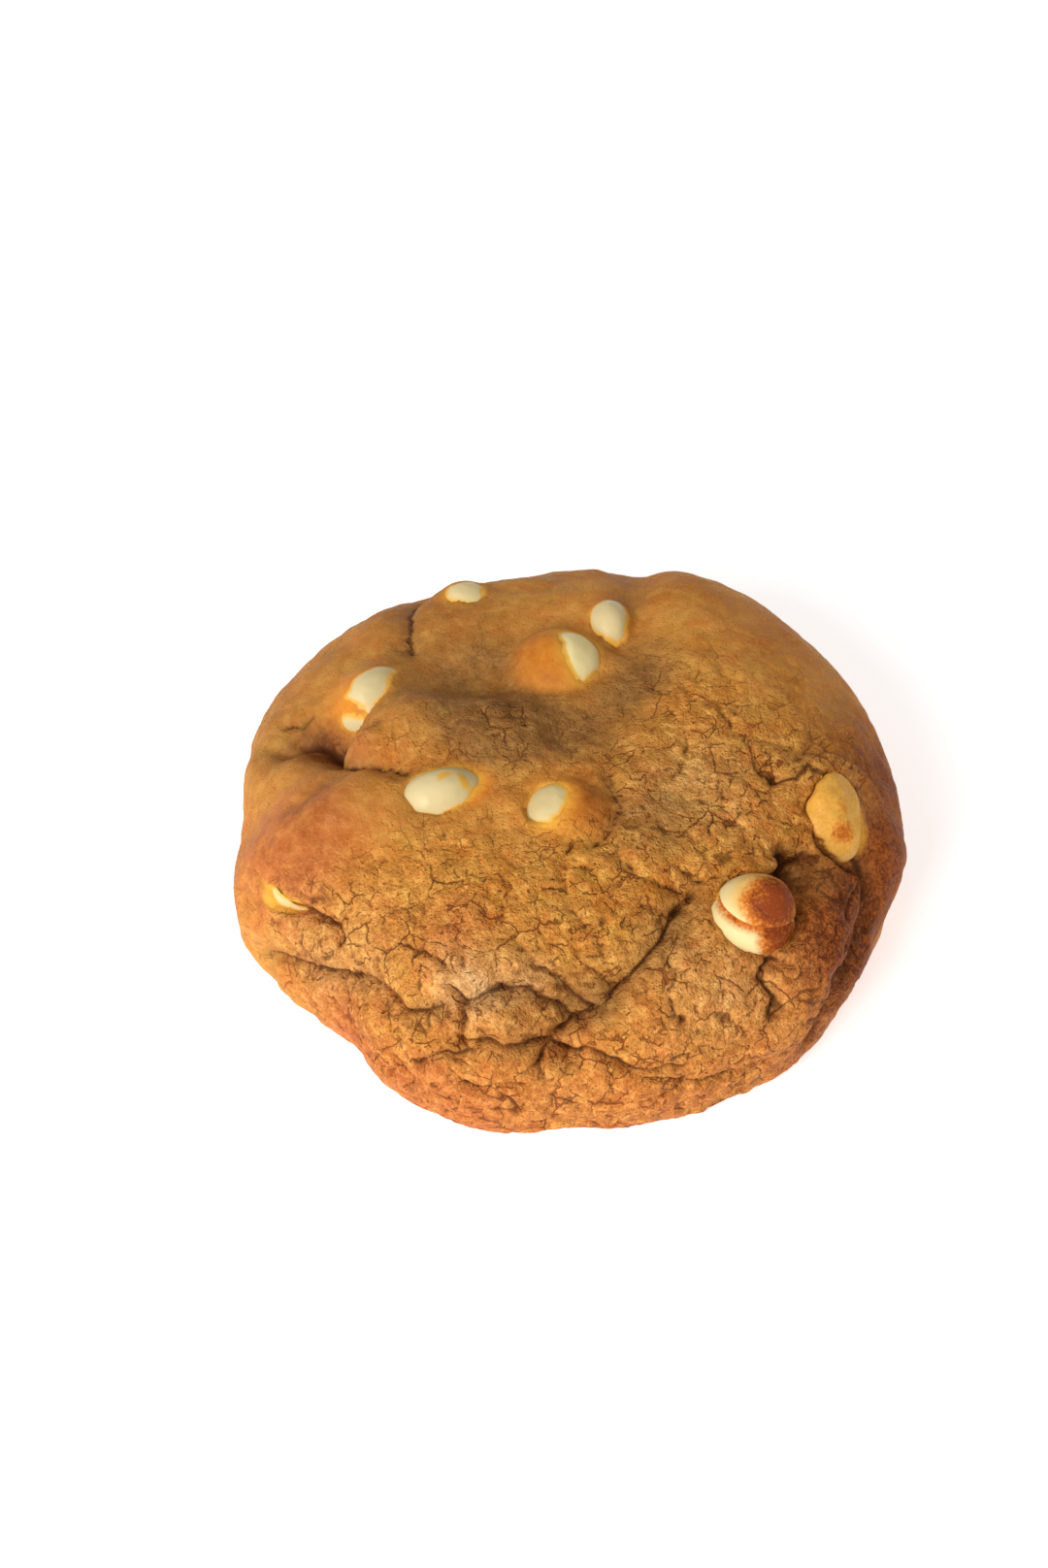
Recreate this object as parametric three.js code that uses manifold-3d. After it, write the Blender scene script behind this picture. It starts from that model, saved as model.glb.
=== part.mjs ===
// A thick bakery cookie with nine white chocolate chips, in millimetres, +Z up.
// It rests on its flat underside at z = 0, with the middle of its plan at x = y = 0.
import * as THREE from "three";
import { mergeVertices } from "three/addons/utils/BufferGeometryUtils.js";
import Module from "manifold-3d";

// Driving dimensions of the dough, mm
const DOME_HEIGHT = 28.5;
const BELLY_HEIGHT = 10;
const UNDERCUT = 3;
const PLAN_SHIFT = [-0.48, -1.55];

// Radius of the belly, the widest ring, every 15 degrees, anticlockwise from +X, mm
const OUTLINE = [
  47.0, 47.5, 48.4, 49.5, 50.9, 49.4, 48.0, 47.2, 48.4, 48.2, 48.7, 46.8,
  45.2, 47.5, 44.3, 42.4, 45.4, 45.8, 44.2, 45.1, 45.5, 45.8, 44.6, 45.5,
];

// The powers that square the dome's shoulder, in plan and in height
const SHOULDER = 2.6;
const CROWN = 2.2;
const BELLY_CURVE = 0.7;

// Reach runs along the crust: 0 at the top, BELLY_REACH at the belly, 1 at the edge of the base
const BELLY_REACH = 0.7;
const RINGS_ABOVE = 30;
const RINGS_BELOW = 8;
const UNDERSIDE_RINGS = 2;
const BASE_EDGE_FADE = 0.06;

// A crack narrower than the crust's triangles is opened to this width, mm
const NARROWEST_CRACK = 1.0;
const CRACK_DEPTH_SHARE = 0.8;

// Swellings and hollows of the crust: bearing in degrees, reach, spread and rise in mm
const LUMPS = {
  rightDome: [39, 0.26, 16, 1.8],
  rightBackLobe: [64, 0.38, 10, 1.4],
  backLobe: [86, 0.36, 9, 1],
  leftBackLobe: [108, 0.34, 8, 0.8],
  leftBackRim: [134, 0.42, 10, 0.8],
  crater: [112, 0.15, 8.5, -3.6],
  craterLeft: [134, 0.19, 6.5, -2.4],
  craterRight: [72, 0.13, 6, -1.6],
  mound: [156, 0.07, 7, 1.8],
  leftLobe: [158, 0.17, 5.5, 2.6],
  leftTongue: [172, 0.25, 3.4, 1.8],
  leftHollow: [167, 0.325, 4.2, -4.6],
  leftDome: [193, 0.28, 8, 2.4],
  leftFrontDome: [199, 0.37, 7, 2.2],
  leftRim: [171, 0.55, 5, 0.9],
  coneHollow: [188, 0.08, 4, -0.8],
  frontDome: [242, 0.3, 10, 1.4],
  frontRidge: [251, 0.37, 5, 1.1],
  frontRight: [294, 0.38, 8, 1.1],
  rightMiddle: [345, 0.2, 9, 0.8],
  rightFrontLobe: [325, 0.47, 9, 2.6],
  rightLowLobe: [316, 0.62, 8, 1.4],
  rightFoot: [330, 0.76, 5, 0.9],
  rightRim: [350, 0.56, 8, 1.2],
  island: [259, 0.46, 5, 0.8],
  frontFoot: [259, 0.78, 12, 0.7],
  leftFrontFoot: [225, 0.78, 10, 0.3],
};

// Creases and cracks: points as [bearing, reach], then spread and depth of the soft valley
// and of the sharp crack at its bottom, mm
const FOLDS = {
  backNotch: [[[78, 0.46], [74, 0.3], [72, 0.2]], 3.5, 1.4, 0, 0],
  rightValley: [[[69, 0.21], [57, 0.15], [51, 0.08], [60, 0.03], [100, 0.02]], 4.5, 1.5, 0, 0],
  backLeftCrease: [[[117, 0.5], [126, 0.36], [133, 0.29]], 2.2, 1, 0.6, 0.5],
  mainFold: [
    [[307, 0.25], [302, 0.26], [297, 0.29], [288, 0.34], [280, 0.4], [274, 0.46], [268, 0.53]],
    3.2, 1.3, 0.5, 1.4,
  ],
  ridgeEdge: [[[249, 0.45], [253, 0.41], [256, 0.39]], 1.8, 0.8, 0.5, 0.9],
  islandTop: [
    [[256, 0.39], [261, 0.38], [265, 0.42], [268, 0.43], [271, 0.47], [269, 0.53]],
    2, 1.3, 0.5, 0.6,
  ],
  islandLeft: [[[246, 0.41], [249, 0.45], [250, 0.49], [251, 0.55]], 1.8, 0.6, 0.5, 1.3],
  islandFoot: [[[251, 0.55], [255, 0.52], [261, 0.53], [264, 0.54], [270, 0.58]], 2.2, 0.9, 0.6, 1.3],
  footRight: [[[270, 0.58], [274, 0.57], [279, 0.61], [290, 0.65]], 1.8, 0.6, 0.5, 0.9],
  footLeft: [[[243, 0.67], [248, 0.6], [253, 0.56]], 1.6, 0.5, 0.5, 0.7],
  ridgeLine: [[[261, 0.33], [265, 0.35], [269, 0.38], [272, 0.42], [274, 0.45]], 1.6, 0.5, 0.45, 0.7],
  frontLeftCrease: [
    [[203, 0.84], [204, 0.75], [208, 0.71], [223, 0.6], [231, 0.54], [240, 0.53], [246, 0.47]],
    2.5, 1.2, 0.5, 0.8,
  ],
  rightUndercut: [
    [[344, 0.47], [342, 0.53], [338, 0.59], [334, 0.61], [328, 0.62], [322, 0.62], [318, 0.68], [316, 0.76]],
    2.3, 1.7, 0.9, 0.7,
  ],
  hollowCrease: [
    [[168, 0.455], [166, 0.42], [166, 0.385], [168, 0.355], [171, 0.32]],
    2.8, 2, 1.5, 2.2,
  ],
  middleDomeEdge: [[[318, 0.034], [307, 0.066], [296, 0.094], [283, 0.115]], 1.6, 0.9, 0.45, 0.5],
  tongueFoot: [[[177, 0.31], [181, 0.24], [184, 0.2], [188, 0.17]], 1.8, 1.3, 0.6, 1.2],
  tongueEdge: [[[166, 0.23], [169, 0.27], [173, 0.31]], 1.4, 0.9, 0.6, 0.8],
  domeCrease: [[[191, 0.34], [188, 0.3], [184, 0.28]], 2, 1, 0, 0],
  rimCrease: [[[162, 0.48], [162, 0.42], [160, 0.39]], 1.2, 0.5, 0.5, 0.9],
  rightRimCrease: [[[24, 0.45], [15, 0.35], [4, 0.3]], 2.2, 0.5, 0, 0],
  chipCrack: [[[356, 0.22], [354, 0.25], [354, 0.27], [358, 0.28], [357, 0.32]], 1.2, 0.4, 0.7, 1.5],
  plateGap: [[[350, 0.32], [346, 0.34], [341, 0.37], [339, 0.42], [341, 0.5]], 1.2, 0.5, 0.6, 1.3],
  frontChipCrack: [[[324, 0.32], [328, 0.33], [332, 0.35], [338, 0.36]], 1.2, 0.3, 0.6, 1.4],
  frontChipHole: [[[334, 0.335], [331, 0.35], [327, 0.36]], 2, 0.8, 1.5, 3],
  frontChipGap: [[[325, 0.36], [323, 0.375], [322, 0.395], [320, 0.425]], 1.3, 0.4, 0.55, 1.8],
  frontChipFoot: [
    [[313, 0.45], [310, 0.44], [308, 0.47], [308, 0.54], [307, 0.58]],
    1.4, 0.6, 0.55, 1.1,
  ],
  leftChipCrack: [[[202, 0.5], [205, 0.51], [209, 0.5], [216, 0.48], [218, 0.5]], 1.3, 0.5, 0.6, 1.2],
};

// Low crumbly relief of the crust: depth and wavelength, mm
const CRUMB_DEPTH = 0.18;
const CRUMB_WAVE = 7.5;

// Chips: middle of the widest ring, direction of the tip, radius, height over the ring,
// how pointed the tip is (0 to 1), direction and stretch of the long side, mm
const CHIPS = {
  chip_back_rim: [[-14.6, 35.4, 21.8], [-0.1, 0.3, 0.95], 3.9, 2.9, 0.2, [1, 0, 0], 1.05],
  chip_back_right: [[6.1, 27.6, 24.2], [0.1, -0.25, 0.96], 3.6, 3.9, 0.25, [0.2, -1, 0], 1.25],
  chip_back_dome: [[-1.1, 19.3, 24.7], [0, -0.05, 1], 6.2, 4.7, 0.05, [1, 0, 0], 1],
  chip_left_hollow: [[-27.2, 14.4, 23.1], [-0.25, -0.25, 0.93], 5, 4.6, 0.3, [1, 1, 0], 1.15],
  chip_middle_cone: [[-16.4, -5.9, 26], [0.2, -0.15, 0.97], 4.2, 4, 0.3, [1, 0.22, 0], 1.45],
  chip_middle_dome: [[-0.2, -9.9, 26.2], [0, -0.1, 1], 5.8, 4, 0.05, [1, 0, 0], 1],
  chip_right_flat: [[36.6, -6.6, 22.4], [0.5, -0.42, 0.76], 4.1, 2, 0, [0.3, -1, -0.2], 1.5],
  chip_front_toasted: [[24.4, -24.4, 22.8], [0.34, -0.1, 0.93], 5.6, 7.3, 0.45, [1, 0, 0], 1],
  chip_left_front: [[-36.6, -13.2, 18.2], [-0.5, -0.45, 0.74], 5.7, 3.6, 0.1, [1, 0, 0], 1],
};
const CHIP_DEPTH = 3;
const CHIP_FOOT_SHARE = 0.7;
const CHIP_SIDES = 18;
const CHIP_STEPS_UP = 4;
const CHIP_STEPS_DOWN = 2;
const CHIP_GAP = 0.3;

const radians = THREE.MathUtils.degToRad;
const clamp = THREE.MathUtils.clamp;

// Smooth closed curve through values spaced evenly round the plan.
function roundThePlan(values, angle) {
  const n = values.length;
  const turns = angle / (2 * Math.PI);
  const s = (turns - Math.floor(turns)) * n;
  const i = Math.floor(s);
  const f = s - i;
  const [a, b, c, d] = [-1, 0, 1, 2].map((k) => values[(i + k + n) % n]);
  const bend = 2 * a - 5 * b + 4 * c - d + f * (3 * (b - c) + d - a);
  return b + 0.5 * f * (c - a + f * bend);
}

// Plain dome at a bearing (radians) and reach: the point, and the direction that faces outwards.
function plainCrust(bearing, reach) {
  const belly = roundThePlan(OUTLINE, bearing);
  const above = reach <= BELLY_REACH;
  const climb = clamp(reach / BELLY_REACH, 0, 1) * (Math.PI / 2);
  const drop = clamp((reach - BELLY_REACH) / (1 - BELLY_REACH), 0, 1) * (Math.PI / 2);
  const squared = Math.pow(Math.max(Math.cos(climb), 0), 2 / CROWN);
  const tucked = 1 - Math.pow(Math.max(Math.cos(drop), 0), BELLY_CURVE);
  const radius = above ? belly * Math.pow(Math.sin(climb), 2 / SHOULDER) : belly - UNDERCUT * tucked;
  const height = above
    ? BELLY_HEIGHT + (DOME_HEIGHT - BELLY_HEIGHT) * squared
    : BELLY_HEIGHT * (1 - Math.sin(drop));
  const tilt = above ? climb : Math.PI / 2;
  const point = new THREE.Vector3(radius * Math.cos(bearing), radius * Math.sin(bearing), height);
  const outwards = new THREE.Vector3(
    Math.cos(bearing) * Math.sin(tilt),
    Math.sin(bearing) * Math.sin(tilt),
    Math.cos(tilt),
  );
  return { point, outwards };
}

const place = ([bearing, reach]) => plainCrust(radians(bearing), reach).point;

const lumps = Object.values(LUMPS).map(([bearing, reach, spread, rise]) => ({
  middle: place([bearing, reach]),
  spread,
  rise,
}));

const folds = Object.values(FOLDS).map(([points, softSpread, softDepth, spread, depth]) => {
  const route = points.map(place);
  return {
    pieces: route.slice(1).map((end, i) => new THREE.Line3(route[i], end)),
    softSpread,
    softDepth,
    spread: Math.max(spread, NARROWEST_CRACK),
    depth: depth * CRACK_DEPTH_SHARE,
  };
});

// Bell curve that is 1 at no distance and fades over the spread.
const bell = (distance, spread) => Math.exp(-((distance / spread) ** 2));

function distanceToFold(point, fold) {
  const nearest = new THREE.Vector3();
  const distances = fold.pieces.map((piece) =>
    piece.closestPointToPoint(point, true, nearest).distanceTo(point),
  );
  return Math.min(...distances);
}

// Low waves in three crossing directions, as deep as the crumbs of the crust.
function crumbs({ x, y, z }) {
  const k = (2 * Math.PI) / CRUMB_WAVE;
  const first = Math.sin(k * (x + 0.6 * z)) * Math.sin(k * (y - 0.4 * z) + 1.3);
  const second = Math.sin(k * (0.8 * x - 0.6 * y) + 2.1) * Math.sin(k * (0.6 * x + 0.8 * y + z));
  return CRUMB_DEPTH * (first + second);
}

// How far the crust stands out from the plain dome at a point of it.
function standOut(point) {
  let rise = crumbs(point);
  for (const lump of lumps) rise += lump.rise * bell(point.distanceTo(lump.middle), lump.spread);
  for (const fold of folds) {
    const distance = distanceToFold(point, fold);
    rise -= fold.softDepth * bell(distance, fold.softSpread);
    rise -= fold.depth * bell(distance, fold.spread);
  }
  return rise;
}

function crust(bearing, reach) {
  const { point, outwards } = plainCrust(bearing, reach);
  const fade = clamp((1 - reach) / BASE_EDGE_FADE, 0, 1);
  return point.addScaledVector(outwards, standOut(point) * fade);
}

// Dough: rings of 6, 12, 18 ... points out to the belly, even rings down to the base,
// and rings that close the flat underside.
function doughGeometry() {
  const points = [crust(0, 0)];
  const rings = [[0]];
  const around = 6 * RINGS_ABOVE;
  const addRing = (count, make) => {
    const first = points.length;
    for (let j = 0; j < count; j++) points.push(make((2 * Math.PI * j) / count));
    rings.push(Array.from({ length: count }, (_, j) => first + j));
  };
  for (let k = 1; k <= RINGS_ABOVE; k++) {
    addRing(6 * k, (bearing) => crust(bearing, (BELLY_REACH * k) / RINGS_ABOVE));
  }
  for (let k = 1; k <= RINGS_BELOW; k++) {
    const reach = BELLY_REACH + ((1 - BELLY_REACH) * k) / RINGS_BELOW;
    addRing(around, (bearing) => crust(bearing, reach));
  }
  for (let k = 1; k <= UNDERSIDE_RINGS; k++) {
    const share = 1 - k / (UNDERSIDE_RINGS + 1);
    addRing(around, (bearing) => crust(bearing, 1).multiplyScalar(share));
  }

  const faces = [];
  const between = (inner, outer) => {
    const sides = 6;
    const steps = outer.length / sides;
    for (let side = 0; side < sides; side++) {
      for (let j = 0; j < steps; j++) {
        const a = outer[side * steps + j];
        const b = outer[(side * steps + j + 1) % outer.length];
        const c = inner[(side * (steps - 1) + j) % inner.length];
        const d = inner[(side * (steps - 1) + j + 1) % inner.length];
        faces.push(a, b, c);
        if (j < steps - 1) faces.push(c, b, d);
      }
    }
  };
  const even = (upper, lower) => {
    for (let j = 0; j < upper.length; j++) {
      const next = (j + 1) % upper.length;
      faces.push(upper[j], lower[j], lower[next], upper[j], lower[next], upper[next]);
    }
  };
  for (let k = 1; k < rings.length; k++) {
    if (k <= RINGS_ABOVE) between(rings[k - 1], rings[k]);
    else even(rings[k - 1], rings[k]);
  }
  const last = rings[rings.length - 1];
  const centre = points.push(new THREE.Vector3(0, 0, 0)) - 1;
  for (let j = 0; j < last.length; j++) faces.push(last[j], centre, last[(j + 1) % last.length]);

  const geometry = new THREE.BufferGeometry().setFromPoints(points);
  geometry.setIndex(faces);
  return geometry;
}

// Chip: a rounded drop turned about its tip's direction, with a blunt foot sunk in the dough.
function chipGeometry([middle, tip, radius, height, pointed, long, stretch], grow) {
  const profile = [new THREE.Vector2(0, -CHIP_DEPTH - grow)];
  for (let k = CHIP_STEPS_DOWN; k > 0; k--) {
    const turn = ((k / CHIP_STEPS_DOWN) * Math.PI) / 2;
    const share = CHIP_FOOT_SHARE + (1 - CHIP_FOOT_SHARE) * Math.cos(turn);
    profile.push(new THREE.Vector2(radius * share + grow, -(CHIP_DEPTH + grow) * Math.sin(turn)));
  }
  const power = 2 - 0.8 * pointed;
  const narrowing = 0.5 + 0.35 * pointed;
  for (let k = 0; k < CHIP_STEPS_UP; k++) {
    const up = Math.sin(((k / CHIP_STEPS_UP) * Math.PI) / 2);
    const share = Math.pow(1 - Math.pow(up, power), narrowing);
    profile.push(new THREE.Vector2((radius + grow) * share, (height + grow) * up));
  }
  profile.push(new THREE.Vector2(0, height + grow));

  const axis = new THREE.Vector3(...tip).normalize();
  const side = new THREE.Vector3(...long);
  side.addScaledVector(axis, -side.dot(axis)).normalize();
  const across = new THREE.Vector3().crossVectors(axis, side);
  const stand = new THREE.Matrix4().makeBasis(side, axis, across.negate());
  const geometry = new THREE.LatheGeometry(profile, CHIP_SIDES);
  geometry.scale(stretch, 1, 1).applyMatrix4(stand).translate(...middle);
  return geometry;
}

const wasm = await Module();
wasm.setup();

function solidFrom(geometry) {
  const bare = geometry.clone();
  bare.deleteAttribute("normal");
  bare.deleteAttribute("uv");
  const merged = mergeVertices(bare);
  const vertProperties = new Float32Array(merged.getAttribute("position").array);
  const triVerts = new Uint32Array(merged.index.array);
  return new wasm.Manifold(new wasm.Mesh({ numProp: 3, vertProperties, triVerts }));
}

function geometryFrom(solid) {
  const { vertProperties, triVerts, numProp } = solid.getMesh();
  if (numProp !== 3) throw new Error("a solid holds more than positions");
  const geometry = new THREE.BufferGeometry();
  geometry.setAttribute("position", new THREE.BufferAttribute(vertProperties, 3));
  geometry.setIndex(new THREE.BufferAttribute(triVerts, 1));
  geometry.computeVertexNormals();
  return geometry;
}

const BAKED_DOUGH = new THREE.MeshStandardMaterial({ color: 0xb5793c, roughness: 0.62, metalness: 0 });
const WHITE_CHOCOLATE = { color: 0xefdfa8, roughness: 0.38, metalness: 0 };
const BROWNED_CHOCOLATE = { color: 0xc98a45, roughness: 0.4, metalness: 0 };
const BROWNED_CHIPS = ["chip_back_dome", "chip_middle_dome"];

const cookie = new THREE.Group();

let dough = solidFrom(doughGeometry());
for (const chip of Object.values(CHIPS)) {
  dough = dough.subtract(solidFrom(chipGeometry(chip, CHIP_GAP)));
}
const doughMesh = new THREE.Mesh(geometryFrom(dough), BAKED_DOUGH);
doughMesh.name = "dough";
cookie.add(doughMesh);

for (const [name, chip] of Object.entries(CHIPS)) {
  const look = BROWNED_CHIPS.includes(name) ? BROWNED_CHOCOLATE : WHITE_CHOCOLATE;
  const mesh = new THREE.Mesh(chipGeometry(chip, 0), new THREE.MeshStandardMaterial(look));
  mesh.name = name;
  cookie.add(mesh);
}
for (const mesh of cookie.children) mesh.geometry.translate(...PLAN_SHIFT, 0);

export default cookie;
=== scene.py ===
# %% [markdown]
# A thick bakery cookie with white chocolate chips.
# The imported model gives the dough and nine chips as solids. Their place and size are right, but
# they are coarse. This lesson makes a fine crust and fine chips in the same place, from the same
# named sizes in millimetres, and gives each its baked or melted finish.

import math

import bpy
import numpy as np
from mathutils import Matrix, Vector


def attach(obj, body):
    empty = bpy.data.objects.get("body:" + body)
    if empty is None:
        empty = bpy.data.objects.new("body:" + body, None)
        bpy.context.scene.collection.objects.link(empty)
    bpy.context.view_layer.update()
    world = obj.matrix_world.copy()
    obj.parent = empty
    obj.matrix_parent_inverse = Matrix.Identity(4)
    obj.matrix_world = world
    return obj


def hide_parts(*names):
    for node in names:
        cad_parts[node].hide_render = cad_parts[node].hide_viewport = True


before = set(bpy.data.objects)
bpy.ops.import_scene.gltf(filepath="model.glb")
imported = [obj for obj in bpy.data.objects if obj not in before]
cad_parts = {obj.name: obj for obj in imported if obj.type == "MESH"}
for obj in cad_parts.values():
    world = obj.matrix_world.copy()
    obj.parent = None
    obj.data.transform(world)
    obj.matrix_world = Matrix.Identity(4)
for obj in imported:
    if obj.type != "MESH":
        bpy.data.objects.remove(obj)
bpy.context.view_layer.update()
MM = 0.001
print("nodes:", sorted(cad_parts))

# %% [markdown]
# The plain shape of the dough is a squashed dome. A sheet is laid over it: reach runs from 0 at the
# top to 1 at the edge of the base, and bearing turns round the plan. A mesh could be sculpted by
# hand, but a formula with a dozen sizes is easier to set against a photo and to change later.

# %% Sizes of the plain dome, mm
DOME_HEIGHT = 28.5
BELLY_HEIGHT = 10.0
UNDERCUT = 3.0
SHOULDER = 2.6
CROWN = 2.2
BELLY_CURVE = 0.7
BELLY_REACH = 0.7
BASE_EDGE_FADE = 0.06
PLAN_SHIFT = np.array([-0.48, -1.55, 0.0])

# Radius of the widest ring every 15 degrees, anticlockwise from +X
OUTLINE = np.array([
    47.0, 47.5, 48.4, 49.5, 50.9, 49.4, 48.0, 47.2, 48.4, 48.2, 48.7, 46.8,
    45.2, 47.5, 44.3, 42.4, 45.4, 45.8, 44.2, 45.1, 45.5, 45.8, 44.6, 45.5,
])
print("mean radius:", OUTLINE.mean().round(1), "mm")

# %% The sheet over the plain dome
def round_the_plan(values, angle):
    """Smooth closed curve through evenly spaced values (a cubic through each four neighbours)."""
    n = len(values)
    s = (angle / (2 * np.pi) % 1.0) * n
    i = np.floor(s).astype(int)
    f = s - i
    a, b, c, d = (values[(i + k) % n] for k in (-1, 0, 1, 2))
    bend = 2 * a - 5 * b + 4 * c - d + f * (3 * (b - c) + d - a)
    return b + 0.5 * f * (c - a + f * bend)


def plain_crust(bearing, reach):
    """Point and outward direction of the plain dome.

    Above the belly the radius is the outline times a power of sin, and the height a power of cos,
    of an angle that grows with reach. Below it the side tucks in by the undercut.
    """
    belly = round_the_plan(OUTLINE, bearing)
    above = reach <= BELLY_REACH
    climb = np.clip(reach / BELLY_REACH, 0, 1) * (np.pi / 2)
    drop = np.clip((reach - BELLY_REACH) / (1 - BELLY_REACH), 0, 1) * (np.pi / 2)
    squared = np.clip(np.cos(climb), 0, 1) ** (2 / CROWN)
    tucked = 1 - np.clip(np.cos(drop), 0, 1) ** BELLY_CURVE
    radius = np.where(above, belly * np.sin(climb) ** (2 / SHOULDER), belly - UNDERCUT * tucked)
    dome = BELLY_HEIGHT + (DOME_HEIGHT - BELLY_HEIGHT) * squared
    height = np.where(above, dome, BELLY_HEIGHT * (1 - np.sin(drop)))
    tilt = np.where(above, climb, np.pi / 2)
    east, north = np.cos(bearing), np.sin(bearing)
    points = np.stack([radius * east, radius * north, height], -1)
    outwards = np.stack([east * np.sin(tilt), north * np.sin(tilt), np.cos(tilt)], -1)
    return points, outwards


def place(bearing_degrees, reach):
    """Point of the plain dome at a bearing in degrees and a reach."""
    return plain_crust(np.radians(bearing_degrees), np.asarray(reach, float))[0]


print("top of the plain dome:", place(0.0, 0.0), "mm")

# %% [markdown]
# Dough rises unevenly: lobes swell, hollows stay where a lump of dough met the next. Each is one
# bell-shaped rise or dip. Folds are the lines where two lobes press together: a soft valley with
# a sharp crack at its bottom, which follows a route over the crust.

# %% Lumps, the same as in the solid
# Bearing, reach, spread and height, mm; a hollow has a negative height
LUMPS = {
    "right_dome": (39, 0.26, 16, 1.8),
    "right_back_lobe": (64, 0.38, 10, 1.4),
    "back_lobe": (86, 0.36, 9, 1.0),
    "left_back_lobe": (108, 0.34, 8, 0.8),
    "left_back_rim": (134, 0.42, 10, 0.8),
    "crater": (112, 0.15, 8.5, -3.6),
    "crater_left": (134, 0.19, 6.5, -2.4),
    "crater_right": (72, 0.13, 6, -1.6),
    "mound": (156, 0.07, 7, 1.8),
    "left_lobe": (158, 0.17, 5.5, 2.6),
    "left_tongue": (172, 0.25, 3.4, 1.8),
    "left_hollow": (167, 0.325, 4.2, -4.6),
    "left_dome": (193, 0.28, 8, 2.4),
    "left_front_dome": (199, 0.37, 7, 2.2),
    "left_rim": (171, 0.55, 5, 0.9),
    "cone_hollow": (188, 0.08, 4, -0.8),
    "front_dome": (242, 0.30, 10, 1.4),
    "front_ridge": (251, 0.37, 5, 1.1),
    "front_right": (294, 0.38, 8, 1.1),
    "right_middle": (345, 0.20, 9, 0.8),
    "right_front_lobe": (325, 0.47, 9, 2.6),
    "right_low_lobe": (316, 0.62, 8, 1.4),
    "right_foot": (330, 0.76, 5, 0.9),
    "right_rim": (350, 0.56, 8, 1.2),
    "island": (259, 0.46, 5, 0.8),
    "front_foot": (259, 0.78, 12, 0.7),
    "left_front_foot": (225, 0.78, 10, 0.3),
}
print(len(LUMPS), "lumps and hollows")

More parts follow.
